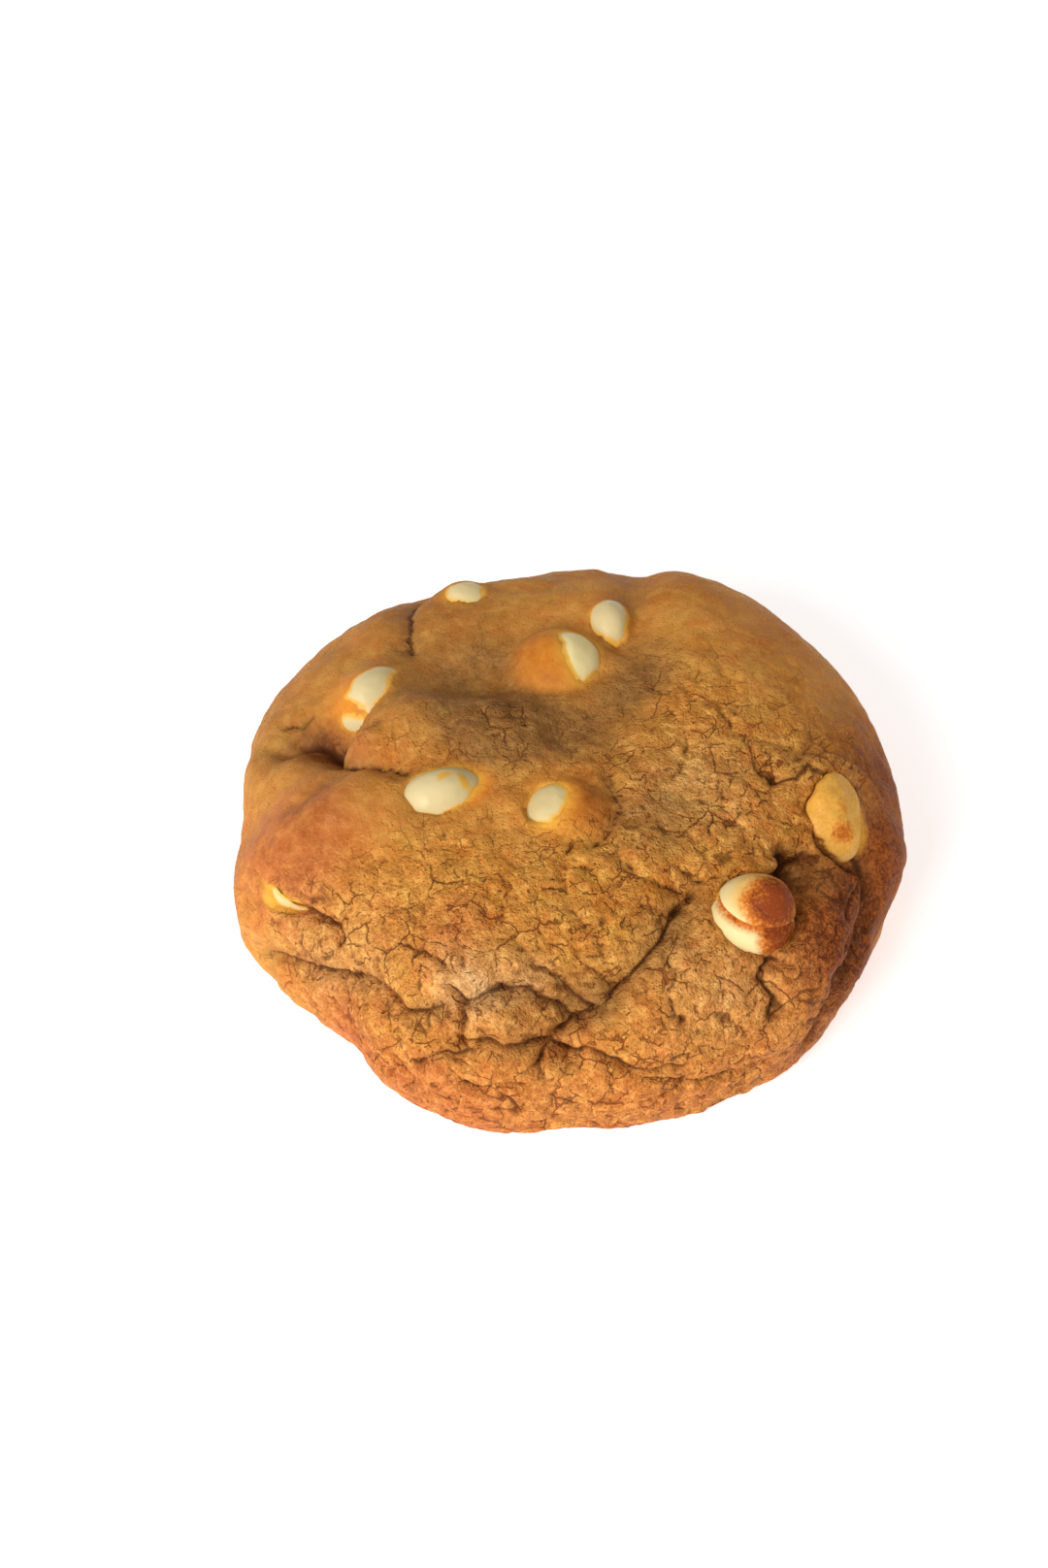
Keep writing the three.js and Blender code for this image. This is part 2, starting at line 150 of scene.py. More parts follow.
# %% Folds, the same as in the solid
# Route in (bearing, reach), spread and depth of the soft valley, spread and depth of the crack, mm
FOLDS = {
    "back_notch": ([(78, 0.46), (74, 0.30), (72, 0.20)], 3.5, 1.4, 0, 0),
    "right_valley": ([(69, 0.21), (57, 0.15), (51, 0.08), (60, 0.03), (100, 0.02)], 4.5, 1.5, 0, 0),
    "back_left_crease": ([(117, 0.50), (126, 0.36), (133, 0.29)], 2.2, 1.0, 0.6, 0.5),
    "main_fold": (
        [(307, 0.25), (302, 0.26), (297, 0.29), (288, 0.34), (280, 0.40), (274, 0.46), (268, 0.53)],
        3.2, 1.3, 0.5, 1.4,
    ),
    "ridge_edge": ([(249, 0.45), (253, 0.41), (256, 0.39)], 1.8, 0.8, 0.5, 0.9),
    "island_top": (
        [(256, 0.39), (261, 0.38), (265, 0.42), (268, 0.43), (271, 0.47), (269, 0.53)],
        2.0, 1.3, 0.5, 0.6,
    ),
    "island_left": ([(246, 0.41), (249, 0.45), (250, 0.49), (251, 0.55)], 1.8, 0.6, 0.5, 1.3),
    "island_foot": ([(251, 0.55), (255, 0.52), (261, 0.53), (264, 0.54), (270, 0.58)], 2.2, 0.9, 0.6, 1.3),
    "foot_right": ([(270, 0.58), (274, 0.57), (279, 0.61), (290, 0.65)], 1.8, 0.6, 0.5, 0.9),
    "foot_left": ([(243, 0.67), (248, 0.60), (253, 0.56)], 1.6, 0.5, 0.5, 0.7),
    "ridge_line": ([(261, 0.33), (265, 0.35), (269, 0.38), (272, 0.42), (274, 0.45)], 1.6, 0.5, 0.45, 0.7),
    "front_left_crease": (
        [(203, 0.84), (204, 0.75), (208, 0.71), (223, 0.60), (231, 0.54), (240, 0.53), (246, 0.47)],
        2.5, 1.2, 0.5, 0.8,
    ),
    "right_undercut": (
        [(344, 0.47), (342, 0.53), (338, 0.59), (334, 0.61), (328, 0.62), (322, 0.62), (318, 0.68),
         (316, 0.76)],
        2.3, 1.7, 0.9, 0.7,
    ),
    "hollow_crease": (
        [(168, 0.455), (166, 0.42), (166, 0.385), (168, 0.355), (171, 0.32)],
        2.8, 2.0, 1.5, 2.2,
    ),
    "middle_dome_edge": ([(318, 0.034), (307, 0.066), (296, 0.094), (283, 0.115)], 1.6, 0.9, 0.45, 0.5),
    "tongue_foot": ([(177, 0.31), (181, 0.24), (184, 0.20), (188, 0.17)], 1.8, 1.3, 0.6, 1.2),
    "tongue_edge": ([(166, 0.23), (169, 0.27), (173, 0.31)], 1.4, 0.9, 0.6, 0.8),
    "dome_crease": ([(191, 0.34), (188, 0.30), (184, 0.28)], 2.0, 1.0, 0, 0),
    "rim_crease": ([(162, 0.48), (162, 0.42), (160, 0.39)], 1.2, 0.5, 0.5, 0.9),
    "right_rim_crease": ([(24, 0.45), (15, 0.35), (4, 0.30)], 2.2, 0.5, 0, 0),
    "chip_crack": ([(356, 0.22), (354, 0.25), (354, 0.27), (358, 0.28), (357, 0.32)], 1.2, 0.4, 0.7, 1.5),
    "plate_gap": ([(350, 0.32), (346, 0.34), (341, 0.37), (339, 0.42), (341, 0.50)], 1.2, 0.5, 0.6, 1.3),
    "front_chip_crack": ([(324, 0.32), (328, 0.33), (332, 0.35), (338, 0.36)], 1.2, 0.3, 0.6, 1.4),
    "front_chip_hole": ([(334, 0.335), (331, 0.35), (327, 0.36)], 2.0, 0.8, 1.5, 3.0),
    "front_chip_gap": ([(325, 0.36), (323, 0.375), (322, 0.395), (320, 0.425)], 1.3, 0.4, 0.55, 1.8),
    "front_chip_foot": (
        [(313, 0.45), (310, 0.44), (308, 0.47), (308, 0.54), (307, 0.58)],
        1.4, 0.6, 0.55, 1.1,
    ),
    "left_chip_crack": (
        [(202, 0.50), (205, 0.51), (209, 0.50), (216, 0.48), (218, 0.50)],
        1.3, 0.5, 0.6, 1.2,
    ),
}
print(len(FOLDS), "folds and cracks")

# %% Thin cracks and pits, too fine for the solid
# The same five values as for a fold
THIN_CRACKS = {
    "right_of_dome": (
        [(287, 0.13), (292, 0.17), (296, 0.20), (302, 0.23), (305, 0.24)],
        0.9, 0.25, 0.35, 0.5,
    ),
    "mound_edge": ([(72, 0.05), (90, 0.032), (120, 0.02)], 1.6, 0.5, 0.35, 0.2),
    "above_chip": ([(309, 0.20), (310, 0.22), (311, 0.24), (314, 0.25)], 0.9, 0.2, 0.4, 0.7),
    "between_plates": (
        [(292, 0.36), (293, 0.38), (290, 0.42), (290, 0.45), (291, 0.49)],
        1.2, 0.3, 0.35, 0.6,
    ),
    "ridge_branch": ([(274, 0.35), (278, 0.37), (281, 0.39)], 1.0, 0.3, 0.4, 0.5),
    "front_bump": ([(232, 0.40), (238, 0.37), (244, 0.37)], 1.0, 0.2, 0.35, 0.5),
    "low_front": ([(252, 0.66), (257, 0.68), (260, 0.72), (262, 0.77)], 1.2, 0.3, 0.4, 0.7),
    "low_front_left": ([(251, 0.67), (254, 0.684), (258, 0.64), (262, 0.655)], 1.1, 0.3, 0.4, 1.0),
    "under_island": ([(264, 0.60), (265, 0.582), (266, 0.565)], 1.0, 0.3, 0.45, 1.1),
    "left_front": ([(215, 0.455), (217, 0.49), (218, 0.52)], 1.0, 0.2, 0.35, 0.8),
    "left_foot": ([(237, 0.675), (240, 0.70), (243, 0.72)], 1.0, 0.3, 0.45, 1.0),
    "low_right": ([(283, 0.66), (289, 0.70), (296, 0.71), (303, 0.75)], 1.2, 0.3, 0.4, 0.7),
    "low_left": ([(222, 0.72), (228, 0.76), (231, 0.80)], 1.2, 0.3, 0.4, 0.6),
}
# Small holes where steam escaped: bearing, reach
PITS = [
    (265, 0.59), (275, 0.55), (252, 0.67), (262, 0.76), (272, 0.32), (232, 0.34), (291, 0.50),
    (218, 0.55), (243, 0.73),
]
PIT_SPREAD = 0.45
PIT_DEPTH = 0.9
print(len(THIN_CRACKS), "thin cracks and", len(PITS), "pits")

# %% Distances on the crust
def bell(distance, spread):
    """1 at no distance, fading over the spread."""
    return np.exp(-((distance / spread) ** 2))


def distance_to(points, middle):
    """Straight distance from every point to one place."""
    return np.sqrt(((points - middle) ** 2).sum(-1))


def route_on_dome(stops, steps=5):
    """Places along a route, with steps between its stops so that it keeps to the curve of the dome."""
    stops = np.array(stops, float)
    share = np.linspace(0, len(stops) - 1, steps * (len(stops) - 1) + 1)
    turned = np.interp(share, np.arange(len(stops)), stops[:, 0])
    reached = np.interp(share, np.arange(len(stops)), stops[:, 1])
    return plain_crust(np.radians(turned), reached)[0]


def distance_to_route(points, route):
    """Distance from every point to the nearest piece of a route of straight pieces."""
    nearest = np.full(points.shape[:-1], np.inf)
    for start, end in zip(route[:-1], route[1:]):
        along = end - start
        share = np.clip(((points - start) @ along) / (along @ along), 0, 1)
        nearest = np.minimum(nearest, distance_to(points, start + share[..., None] * along))
    return nearest


main_steps = np.diff(route_on_dome(FOLDS["main_fold"][0]), axis=0)
print("length of the main fold:", np.linalg.norm(main_steps, axis=1).sum().round(1), "mm")

# %% [markdown]
# Cracks and crumbs need randomness that is the same on every run and has no direction. Two kinds
# are enough. Smooth noise blends random values on a lattice. Cells split space round scattered
# seeds, and the walls between the cells are a natural network of cracks.

# %% Noise and cells
def lattice_value(cell, seed):
    """Random number from 0 to 1 for whole-number lattice places, by mixing their bits."""
    x, y, z = (cell[..., k].astype(np.int64) for k in range(3))
    mixed = (x * 73856093) ^ (y * 19349663) ^ (z * 83492791) ^ (seed * 39916801)
    mixed = (mixed ^ (mixed >> 13)) * 1274126177
    mixed = (mixed ^ (mixed >> 16)) * 668265263
    return ((mixed ^ (mixed >> 15)) & 0xFFFFFF) / float(0x1000000)


def smooth_noise(points, size, seed):
    """Values from 0 to 1 that change over the given size, blended between lattice corners."""
    q = points / size
    cell = np.floor(q)
    f = q - cell
    f = f * f * (3 - 2 * f)
    total = 0
    for corner in np.ndindex(2, 2, 2):
        weight = np.prod(np.where(corner, f, 1 - f), axis=-1)
        total = total + weight * lattice_value(cell + corner, seed)
    return total


def drift(points, size, seed):
    """Sideways shift from -1 to 1 in each direction, smooth over the given size."""
    return np.stack([smooth_noise(points, size, seed + k) for k in range(3)], -1) * 2 - 1


def cells(points, size, seed):
    """Scattered cells: distance to the wall, offset from the middle, cell number, wall number."""
    q = points / size
    home = np.floor(q)
    shape = points.shape[:-1]
    near, next_near = np.full(shape, 9.0), np.full(shape, 9.0)
    middle, next_middle = np.zeros(points.shape), np.ones(points.shape)
    tag, next_tag = np.zeros(shape), np.zeros(shape)
    for step in np.ndindex(3, 3, 3):
        cell = home + step - 1
        jitter = np.stack([lattice_value(cell, seed + k) for k in range(3)], -1)
        place_of = cell + 0.1 + 0.8 * jitter
        far = ((q - place_of) ** 2).sum(-1)
        number = lattice_value(cell, seed + 7)
        first = far < near
        second = ~first & (far < next_near)
        next_near = np.where(first, near, np.where(second, far, next_near))
        next_tag = np.where(first, tag, np.where(second, number, next_tag))
        next_middle = np.where(first[..., None], middle, np.where(second[..., None], place_of, next_middle))
        near = np.where(first, far, near)
        tag = np.where(first, number, tag)
        middle = np.where(first[..., None], place_of, middle)
    apart = np.sqrt(((next_middle - middle) ** 2).sum(-1))
    wall = (next_near - near) / (2 * apart) * size
    wall_tag = (tag * 7.31 + next_tag * 7.31) % 1.0
    return wall, (q - middle) * size, tag, wall_tag


def step_up(x, low, high):
    """0 below low, 1 above high, with a smooth rise between."""
    t = np.clip((x - low) / (high - low), 0, 1)
    return t * t * (3 - 2 * t)


print("noise at the top of the dome:", smooth_noise(place(0.0, 0.0), 5.0, 1).round(3))

# %% [markdown]
# The chips are drops of white chocolate that kept most of their shape in the oven. Their places are
# settled first, because the dough has to make room for them and runs over most of them.

# %% Chips, the same as in the solids
# Middle of the widest ring, direction of the tip, radius, height, pointedness, long side, stretch
CHIPS = {
    "chip_back_rim": ((-14.6, 35.4, 21.8), (-0.1, 0.3, 0.95), 3.9, 2.9, 0.2, (1, 0, 0), 1.05),
    "chip_back_right": ((6.1, 27.6, 24.2), (0.1, -0.25, 0.96), 3.6, 3.9, 0.25, (0.2, -1, 0), 1.25),
    "chip_back_dome": ((-1.1, 19.3, 24.7), (0, -0.05, 1), 6.2, 4.7, 0.05, (1, 0, 0), 1.0),
    "chip_left_hollow": ((-27.2, 14.4, 23.1), (-0.25, -0.25, 0.93), 5.0, 4.6, 0.3, (1, 1, 0), 1.15),
    "chip_middle_cone": ((-16.4, -5.9, 26.0), (0.2, -0.15, 0.97), 4.2, 4.0, 0.3, (1, 0.22, 0), 1.45),
    "chip_middle_dome": ((-0.2, -9.9, 26.2), (0, -0.1, 1), 5.8, 4.0, 0.05, (1, 0, 0), 1.0),
    "chip_right_flat": ((36.6, -6.6, 22.4), (0.5, -0.42, 0.76), 4.1, 2.0, 0, (0.3, -1, -0.2), 1.5),
    "chip_front_toasted": ((24.4, -24.4, 22.8), (0.34, -0.1, 0.93), 5.6, 7.3, 0.45, (1, 0, 0), 1.0),
    "chip_left_front": ((-36.6, -13.2, 18.2), (-0.5, -0.45, 0.74), 5.7, 3.6, 0.1, (1, 0, 0), 1.0),
}
CHIP_DEPTH = 3.0


def chip_axes(tip, long_side):
    """Long, cross and tip directions of a chip, all at right angles."""
    axis = np.array(tip, float) / np.linalg.norm(tip)
    side = np.array(long_side, float)
    side -= (side @ axis) * axis
    side /= np.linalg.norm(side)
    return side, np.cross(axis, side), axis


def flat_axes(chip):
    """Long and cross directions of a chip, as the columns of a matrix."""
    return np.stack(chip_axes(chip[1], chip[5])[:2]).T


def distance_to_chip(points, chip):
    """Distance outside an egg-shaped stand-in for the chip, negative inside it."""
    middle, tip, radius, height, _, long_side, stretch = chip
    local = (points - np.array(middle)) @ np.stack(chip_axes(tip, long_side)).T
    up = np.where(local[..., 2] > 0, height, CHIP_DEPTH)
    half = np.stack([np.full(up.shape, radius * stretch), np.full(up.shape, radius), up], -1)
    scaled = np.sqrt(((local / half) ** 2).sum(-1))
    slope = np.sqrt(((local / half**2) ** 2).sum(-1))
    return scaled * (scaled - 1) / np.maximum(slope, 1e-6)


print(len(CHIPS), "chips")

# %% [markdown]
# Not all of the crust is cracked alike. The lobes at the back stayed smooth and soft, and the middle
# and the front dried and broke into flakes. Soft patches of influence say where, so that one
# formula makes the whole crust.

# %% Where the crust crackles
# Bearing, reach, spread and amount of each patch
CRACKLED = [
    (300, 0.18, 17, 0.85), (350, 0.20, 14, 0.7), (270, 0.40, 14, 0.9), (310, 0.45, 14, 0.9),
    (235, 0.55, 16, 0.8), (260, 0.75, 16, 0.9), (300, 0.72, 16, 0.9), (210, 0.62, 12, 0.6),
    (20, 0.18, 12, 0.45), (0, 0.35, 10, 0.4), (245, 0.22, 12, 0.7), (150, 0.07, 7, 0.9),
    (5, 0.04, 6, 0.5), (48, 0.10, 6, 0.4), (227, 0.42, 9, 0.5), (180, 0.20, 5, 0.4),
    (325, 0.50, 11, 1.6), (196, 0.33, 8, -0.5),
]
# The wall at the back, a little above the base
CRACKLED += [(bearing, 0.87, 10, 0.6) for bearing in range(5, 181, 25)]
LEAST_CRACKLE = 0.09


def patches(points, table):
    """Sum of soft patches, each its amount at its middle and fading over its spread."""
    total = np.zeros(points.shape[:-1])
    for bearing, reach, spread, amount in table:
        total += amount * bell(distance_to(points, place(bearing, reach)), spread)
    return total


def crackle_amount(points):
    """From LEAST_CRACKLE on the smooth lobes to 1 on the broken crust."""
    uneven = 0.5 + smooth_noise(points, 9.0, 11)
    return np.clip(LEAST_CRACKLE + patches(points, CRACKLED) * uneven, 0, 1)


print("crackle at the front and at the back:", crackle_amount(place([270.0, 90.0], [0.4, 0.4])).round(2))

# %% [markdown]
# The crust breaks into plates. Cells of two sizes make them: each plate is a little pillow, tilted
# its own way, and only some walls open into cracks, because a network in which every wall is open
# looks like dried mud. Creases wind between them, where the drying skin wrinkled.

# %% Plates and creases, mm
PLATES = [
    # Cell size, crack width, crack depth, share of open walls, pillow depth, step between plates
    (7.5, 0.34, 0.45, 0.18, 0.16, 0.11),
    (3.2, 0.32, 0.22, 0.16, 0.11, 0.10),
]
CREASES = [
    # Size of the windings, width in values of the noise, depth
    (5.5, 0.030, 0.24),
    (2.6, 0.036, 0.13),
]
PLATE_WANDER = 0.9


def plates(points, amount, size, width, depth, share, pillow, step, seed):
    """Height of one size of plates, and the painted shade of its open cracks.

    A plate has its own step and tilt, less a soft dip along its walls. A wall opens as a crack
    where its own random number is below the share, give or take a slow noise.
    """
    push = PLATE_WANDER * (size / 5) * drift(points, 2.6, seed) + 0.22 * drift(points, 0.8, seed + 3)
    wall, offset, tag, wall_tag = cells(points + push, size, seed)
    chance = share - wall_tag + 0.25 * smooth_noise(points, 2.0, seed + 5)
    open_wall = step_up(chance, 0.0, 0.2) * amount
    tilt = np.stack([np.sin(tag * 40), np.cos(tag * 57), np.sin(tag * 91)], -1)
    inner = 1 - bell(wall, 0.5)
    height = step * ((tag * 3.7 % 1.0) * 2 - 1 + (offset * tilt).sum(-1) / size) * inner
    height -= pillow * bell(wall, 0.16 * size)
    crack = bell(wall, width) * open_wall
    return height * amount - depth * crack, crack


def creases(points, size, width, depth, seed):
    """Winding creases: the places where two blended noises pass their middle value."""
    level = 0.62 * smooth_noise(points, size, seed) + 0.38 * smooth_noise(points, 0.42 * size, seed + 1)
    opened = step_up(smooth_noise(points, 1.3 * size, seed + 2), 0.42, 0.60)
    line = bell(level - 0.5, width) * opened
    return depth * line, line


print(len(PLATES), "sizes of plates,", len(CREASES), "sizes of creases")

# %% [markdown]
# Dough ran over most of the chips and left only a window of bare chocolate. So the crust has to
# follow each chip as a thin skin. It could be a second mesh laid over the chip, but then a seam
# would show, so the crust itself is lifted until it lies on the chip.

# %% The crust follows a chip
SKIRT_START = 0.85


def over_chip(points, outwards, chip):
    """Rise at which the way outwards from each point meets the chip, and its distance from the axis.

    The chip's profile ends in a straight skirt, so that ways just beside it meet it too. The rise
    is found by stepping: each step moves the point outwards by what is missing to the profile.
    """
    middle, tip, radius, height, pointed, long_side, stretch = chip
    axes = np.stack(chip_axes(tip, long_side)).T
    half = np.array([radius * stretch, radius])
    local, way = (points - np.array(middle)) @ axes, outwards @ axes
    power, narrowing = 2 - 0.8 * pointed, 0.5 + 0.35 * pointed
    profile = lambda s: (1 - s ** (1 / narrowing)) ** (1 / power)
    slope = (profile(SKIRT_START) - profile(SKIRT_START - 0.01)) / 0.01
    lift = np.zeros(len(points))
    for _ in range(8):
        spread = np.sqrt((((local[:, :2] + lift[:, None] * way[:, :2]) / half) ** 2).sum(-1))
        skirt = slope * np.clip(spread - SKIRT_START, 0, 0.6)
        target = height * (profile(np.minimum(spread, SKIRT_START)) + skirt)
        lift = np.clip(lift + 0.7 * (target - local[:, 2] - lift * way[:, 2]), -6, 9)
    return lift, spread


spot = plain_crust(np.radians([93.0]), np.array([0.17]))
print("lift over the chip of the back dome:", over_chip(*spot, CHIPS["chip_back_dome"])[0].round(2), "mm")

# %% [markdown]
# A window is where the skin tore or the chip pushed through. Its sides are nearly straight and its
# corners rounded, so it is a small polygon on the chip, and noise makes its edge uneven.

# %% Windows of bare chocolate
# Corners of the bare cream windows, mm along the chip's long and cross directions
BARE = {
    "chip_back_rim": [
        [(-1.8, -1.9), (-0.8, -3.1), (1.6, -3.2), (2.9, -1.6), (2.6, 0.6), (0, 0.8), (-1.6, -0.2)],
    ],
    "chip_back_right": [
        [(-1.1, -2.7), (1.1, -2.2), (2.6, -0.8), (3.3, 0.4), (1.4, 1.6), (-0.9, 2.1), (-3.6, 1.6),
         (-2.8, -1.4)],
    ],
    "chip_back_dome": [
        [(0.7, -0.3), (1.7, -2.9), (2.9, -4.5), (5.3, -0.9), (5.6, 2.4), (3.4, 4.4), (0.6, 3.1)],
    ],
    "chip_left_hollow": [
        [(-2.1, -1.5), (-0.8, -2.7), (1.3, -2.2), (5.4, 0.5), (2.6, 1.8), (-0.1, 2.0), (-2.2, 1.5)],
        [(-2.9, -2.7), (-2.2, -3.4), (-0.8, -2.7), (-1.6, -1.8)],
        [(-5.9, -0.6), (-5.3, -2.1), (-4.2, -3.6), (-2.9, -3.1), (-5.2, 0.0)],
    ],
    "chip_middle_cone": [
        [(-6.4, 0.9), (-5.3, -2.6), (-2.5, -3.4), (1.2, -2.7), (4.6, 0.4), (3.5, 2.7), (0.7, 3.4),
         (-2.1, 2.9), (-5.3, 2.4)],
    ],
    "chip_middle_dome": [
        [(-5.7, -0.2), (-4.2, -2.3), (-2.2, -2.7), (-0.9, -0.9), (-0.6, 1.4), (-1.5, 2.9), (-3.6, 4.0),
         (-5.0, 2.7)],
    ],
    "chip_right_flat": [
        [(-6.8, -1.2), (-1.3, -5.2), (1.9, -4.8), (4.6, -3.4), (6.6, -0.3), (5.2, 2.7), (-4.2, 2.9),
         (-6.6, 0.9)],
    ],
    "chip_front_toasted": [[(-14, -14), (14, -14), (14, 14), (-14, 14)]],
    "chip_left_front": [
        [(-2.6, -3.3), (0.1, -4.9), (0.6, -4.0), (-2.3, -2.3)],
        [(0.1, -4.9), (2.3, -5.9), (3.2, -5.2), (0.6, -4.0)],
    ],
}
CORNER_ROUNDING = 0.25
WINDOW_EASE = 0.45


def ragged(points):
    """Points moved about by two sizes of noise, so that an outline drawn over them is uneven."""
    return points + 0.5 * drift(points, 2.2, 81) + 0.2 * drift(points, 0.8, 84)


def depth_in_window(points, chip, corners):
    """How deep each point lies inside a window with straight sides, mm: its least distance to them.

    The soft least, minus the logarithm of a sum of exponentials, rounds the corners.
    """
    flat = (ragged(points) - np.array(chip[0])) @ flat_axes(chip)
    crowding = np.zeros(len(points))
    for start, end in zip(corners, corners[1:] + corners[:1]):
        along = np.subtract(end, start) / np.linalg.norm(np.subtract(end, start))
        inwards = (flat - start) @ np.array([-along[1], along[0]])
        crowding += np.exp(-np.clip(inwards, -30, 30) / CORNER_ROUNDING)
    return -CORNER_ROUNDING * np.log(crowding)


def uncovered(points, name):
    """How deep each point lies inside the chip's bare windows, mm; negative outside them."""
    return np.max([depth_in_window(points, CHIPS[name], corners) for corners in BARE[name]], axis=0)


print(sum(len(windows) for windows in BARE.values()), "windows")

# %% [markdown]
# Round a bare chip the dough sinks a little and leaves a thin gap, darkened with painted shade. The skin over a
# chip is
# fried in cocoa butter: caramel on top, and golden where it thins out at the window.

# %% Skin, gaps and caramel round the chips
# Caramel of the dough skin over a chip: offset from its middle, spread, strength, width of the
# golden edge in mm, and how far the caramel has turned to amber
GLAZE = {
    "chip_back_right": ((2.2, 0, 2.8), 2.6, 0.9, 0.4, 0.5),
    "chip_back_dome": ((-1.6, -0.8, 3.6), 6.6, 1.0, 1.1, 0.35),
    "chip_left_hollow": ((-2.6, -2.2, 2.6), 4.2, 1.0, 0.35, 1.0),
    "chip_middle_cone": ((5.4, -0.6, 1.4), 5.2, 1.0, 0.9, 1.0),
    "chip_middle_dome": ((1.6, 0.2, 3.6), 6.2, 1.0, 1.2, 1.0),
}
# Skin of dough over a chip, mm: its thickness, how far from the window it reaches that, and the
# least left at the window
SKIN = 0.22
SKIN_REACH = 2.0
LEAST_SKIN = 0.005
SKIN_ROUNDING = 1.2
WINDOW_LIP = 0.7
# Dough beside a bare chip, mm: a low rim, a groove against the chip, and its depth under the chip
RIM_PLACE, RIM_SPREAD, RIM_RISE = 1.5, 1.2, 0.3
GROOVE_SPREAD, GROOVE_DEPTH = 0.5, 0.5
UNDER_EDGE, UNDER_CHIP = 0.25, 0.7
HONEY_WIDTH = 0.7


def soft_greatest(a, b, rounding):
    """The greater of two heights, with the corner between them rounded."""
    share = np.clip(0.5 + 0.5 * (b - a) / rounding, 0, 1)
    return a + (b - a) * share + rounding * share * (1 - share)


def sunk_at_chip(level, lift, spread, apart):
    """Height of the dough at a bare chip: a rim, a groove, and below the chip's surface inside."""
    sunk = level + RIM_RISE * bell(apart - RIM_PLACE, RIM_SPREAD) - GROOVE_DEPTH * bell(apart, GROOVE_SPREAD)
    under = lift - UNDER_EDGE - UNDER_CHIP * step_up(1.1 - spread, 0, 0.25)
    return np.where(spread < 1.1, np.minimum(sunk, under), sunk)


def dress_chips(points, outwards, rise):
    """Dough over and round the chips: new rise, and masks of painted gap shade, glaze, amber and honey edge.

    Where a chip is bare the rise is the sunk one, and elsewhere the skin's. The share between them
    grows with the cube of the depth inside the window, so the skin ends in a soft lip.
    """
    gap_shade, glaze, amber, honey = (np.zeros(len(points)) for _ in range(4))
    for name, chip in CHIPS.items():
        middle, long_radius = np.array(chip[0]), chip[2] * chip[6]
        near = np.flatnonzero(distance_to(points, middle) < 1.5 * long_radius + 4)
        p, out, level = points[near], outwards[near], rise[near]
        lift, spread = over_chip(p, out, chip)
        crust_point = p + out * level[:, None]
        beside = np.linalg.norm((crust_point - middle) @ flat_axes(chip), axis=-1)
        reached = 1 - step_up(beside / long_radius, 1.25, 1.6)
        on_chip = p + out * np.maximum(lift, level - 1)[:, None]
        inside = uncovered(on_chip, name) + WINDOW_EASE
        bare = 1 - np.exp(-(np.clip(inside + 0.1, 0, None) / WINDOW_LIP) ** 3)
        apart = distance_to_chip(crust_point, chip)
        sunk = sunk_at_chip(level, lift, spread, apart)
        skin = SKIN * step_up(-inside, 0, SKIN_REACH) + LEAST_SKIN
        rounding = SKIN_ROUNDING * step_up(spread, 0.2, 0.9) + 0.05
        covered = soft_greatest(level, lift + skin, rounding)
        rise[near] = level + ((sunk - covered) * bare + covered - level) * reached
        opening = bell(apart, 0.4) * bare * step_up(spread, 0.8, 1.0) * reached
        gap_shade[near] = np.maximum(gap_shade[near], opening)
        golden_width = HONEY_WIDTH
        if name in GLAZE:
            offset, brown_spread, strength, golden_width, brownness = GLAZE[name]
            browned = strength * bell(distance_to(on_chip, middle + offset), brown_spread)
            browned *= (1 - step_up(spread, 0.85, 1.4)) * reached
            glaze[near] = np.maximum(glaze[near], browned)
            amber[near] = np.maximum(amber[near], brownness * browned * step_up(-inside, 0.6, 3.6))
        on_top = (1 - step_up(spread, 0.75, 1.15)) * reached
        golden = bell(np.minimum(inside - 0.3, 0), golden_width) * on_top
        honey[near] = np.maximum(honey[near], golden)
    return rise, {"gap_shade": gap_shade, "glaze": glaze, "amber": amber, "honey": honey}


print(len(GLAZE), "chips under caramel")

# %% [markdown]
# All the relief is added up in the order in which it came about: lumps, folds and cracks, steam
# holes, plates, creases, fine unevenness, and at last the dough that met the chips.

# %% All the relief together, mm
FOLD_WANDER = 0.8
# Size and height of the unevenness of the skin
UNEVEN = [(5.5, 0.8, 31), (2.2, 0.34, 33)]
CRUMBS_SIZE, CRUMBS_HEIGHT = 0.9, 0.18


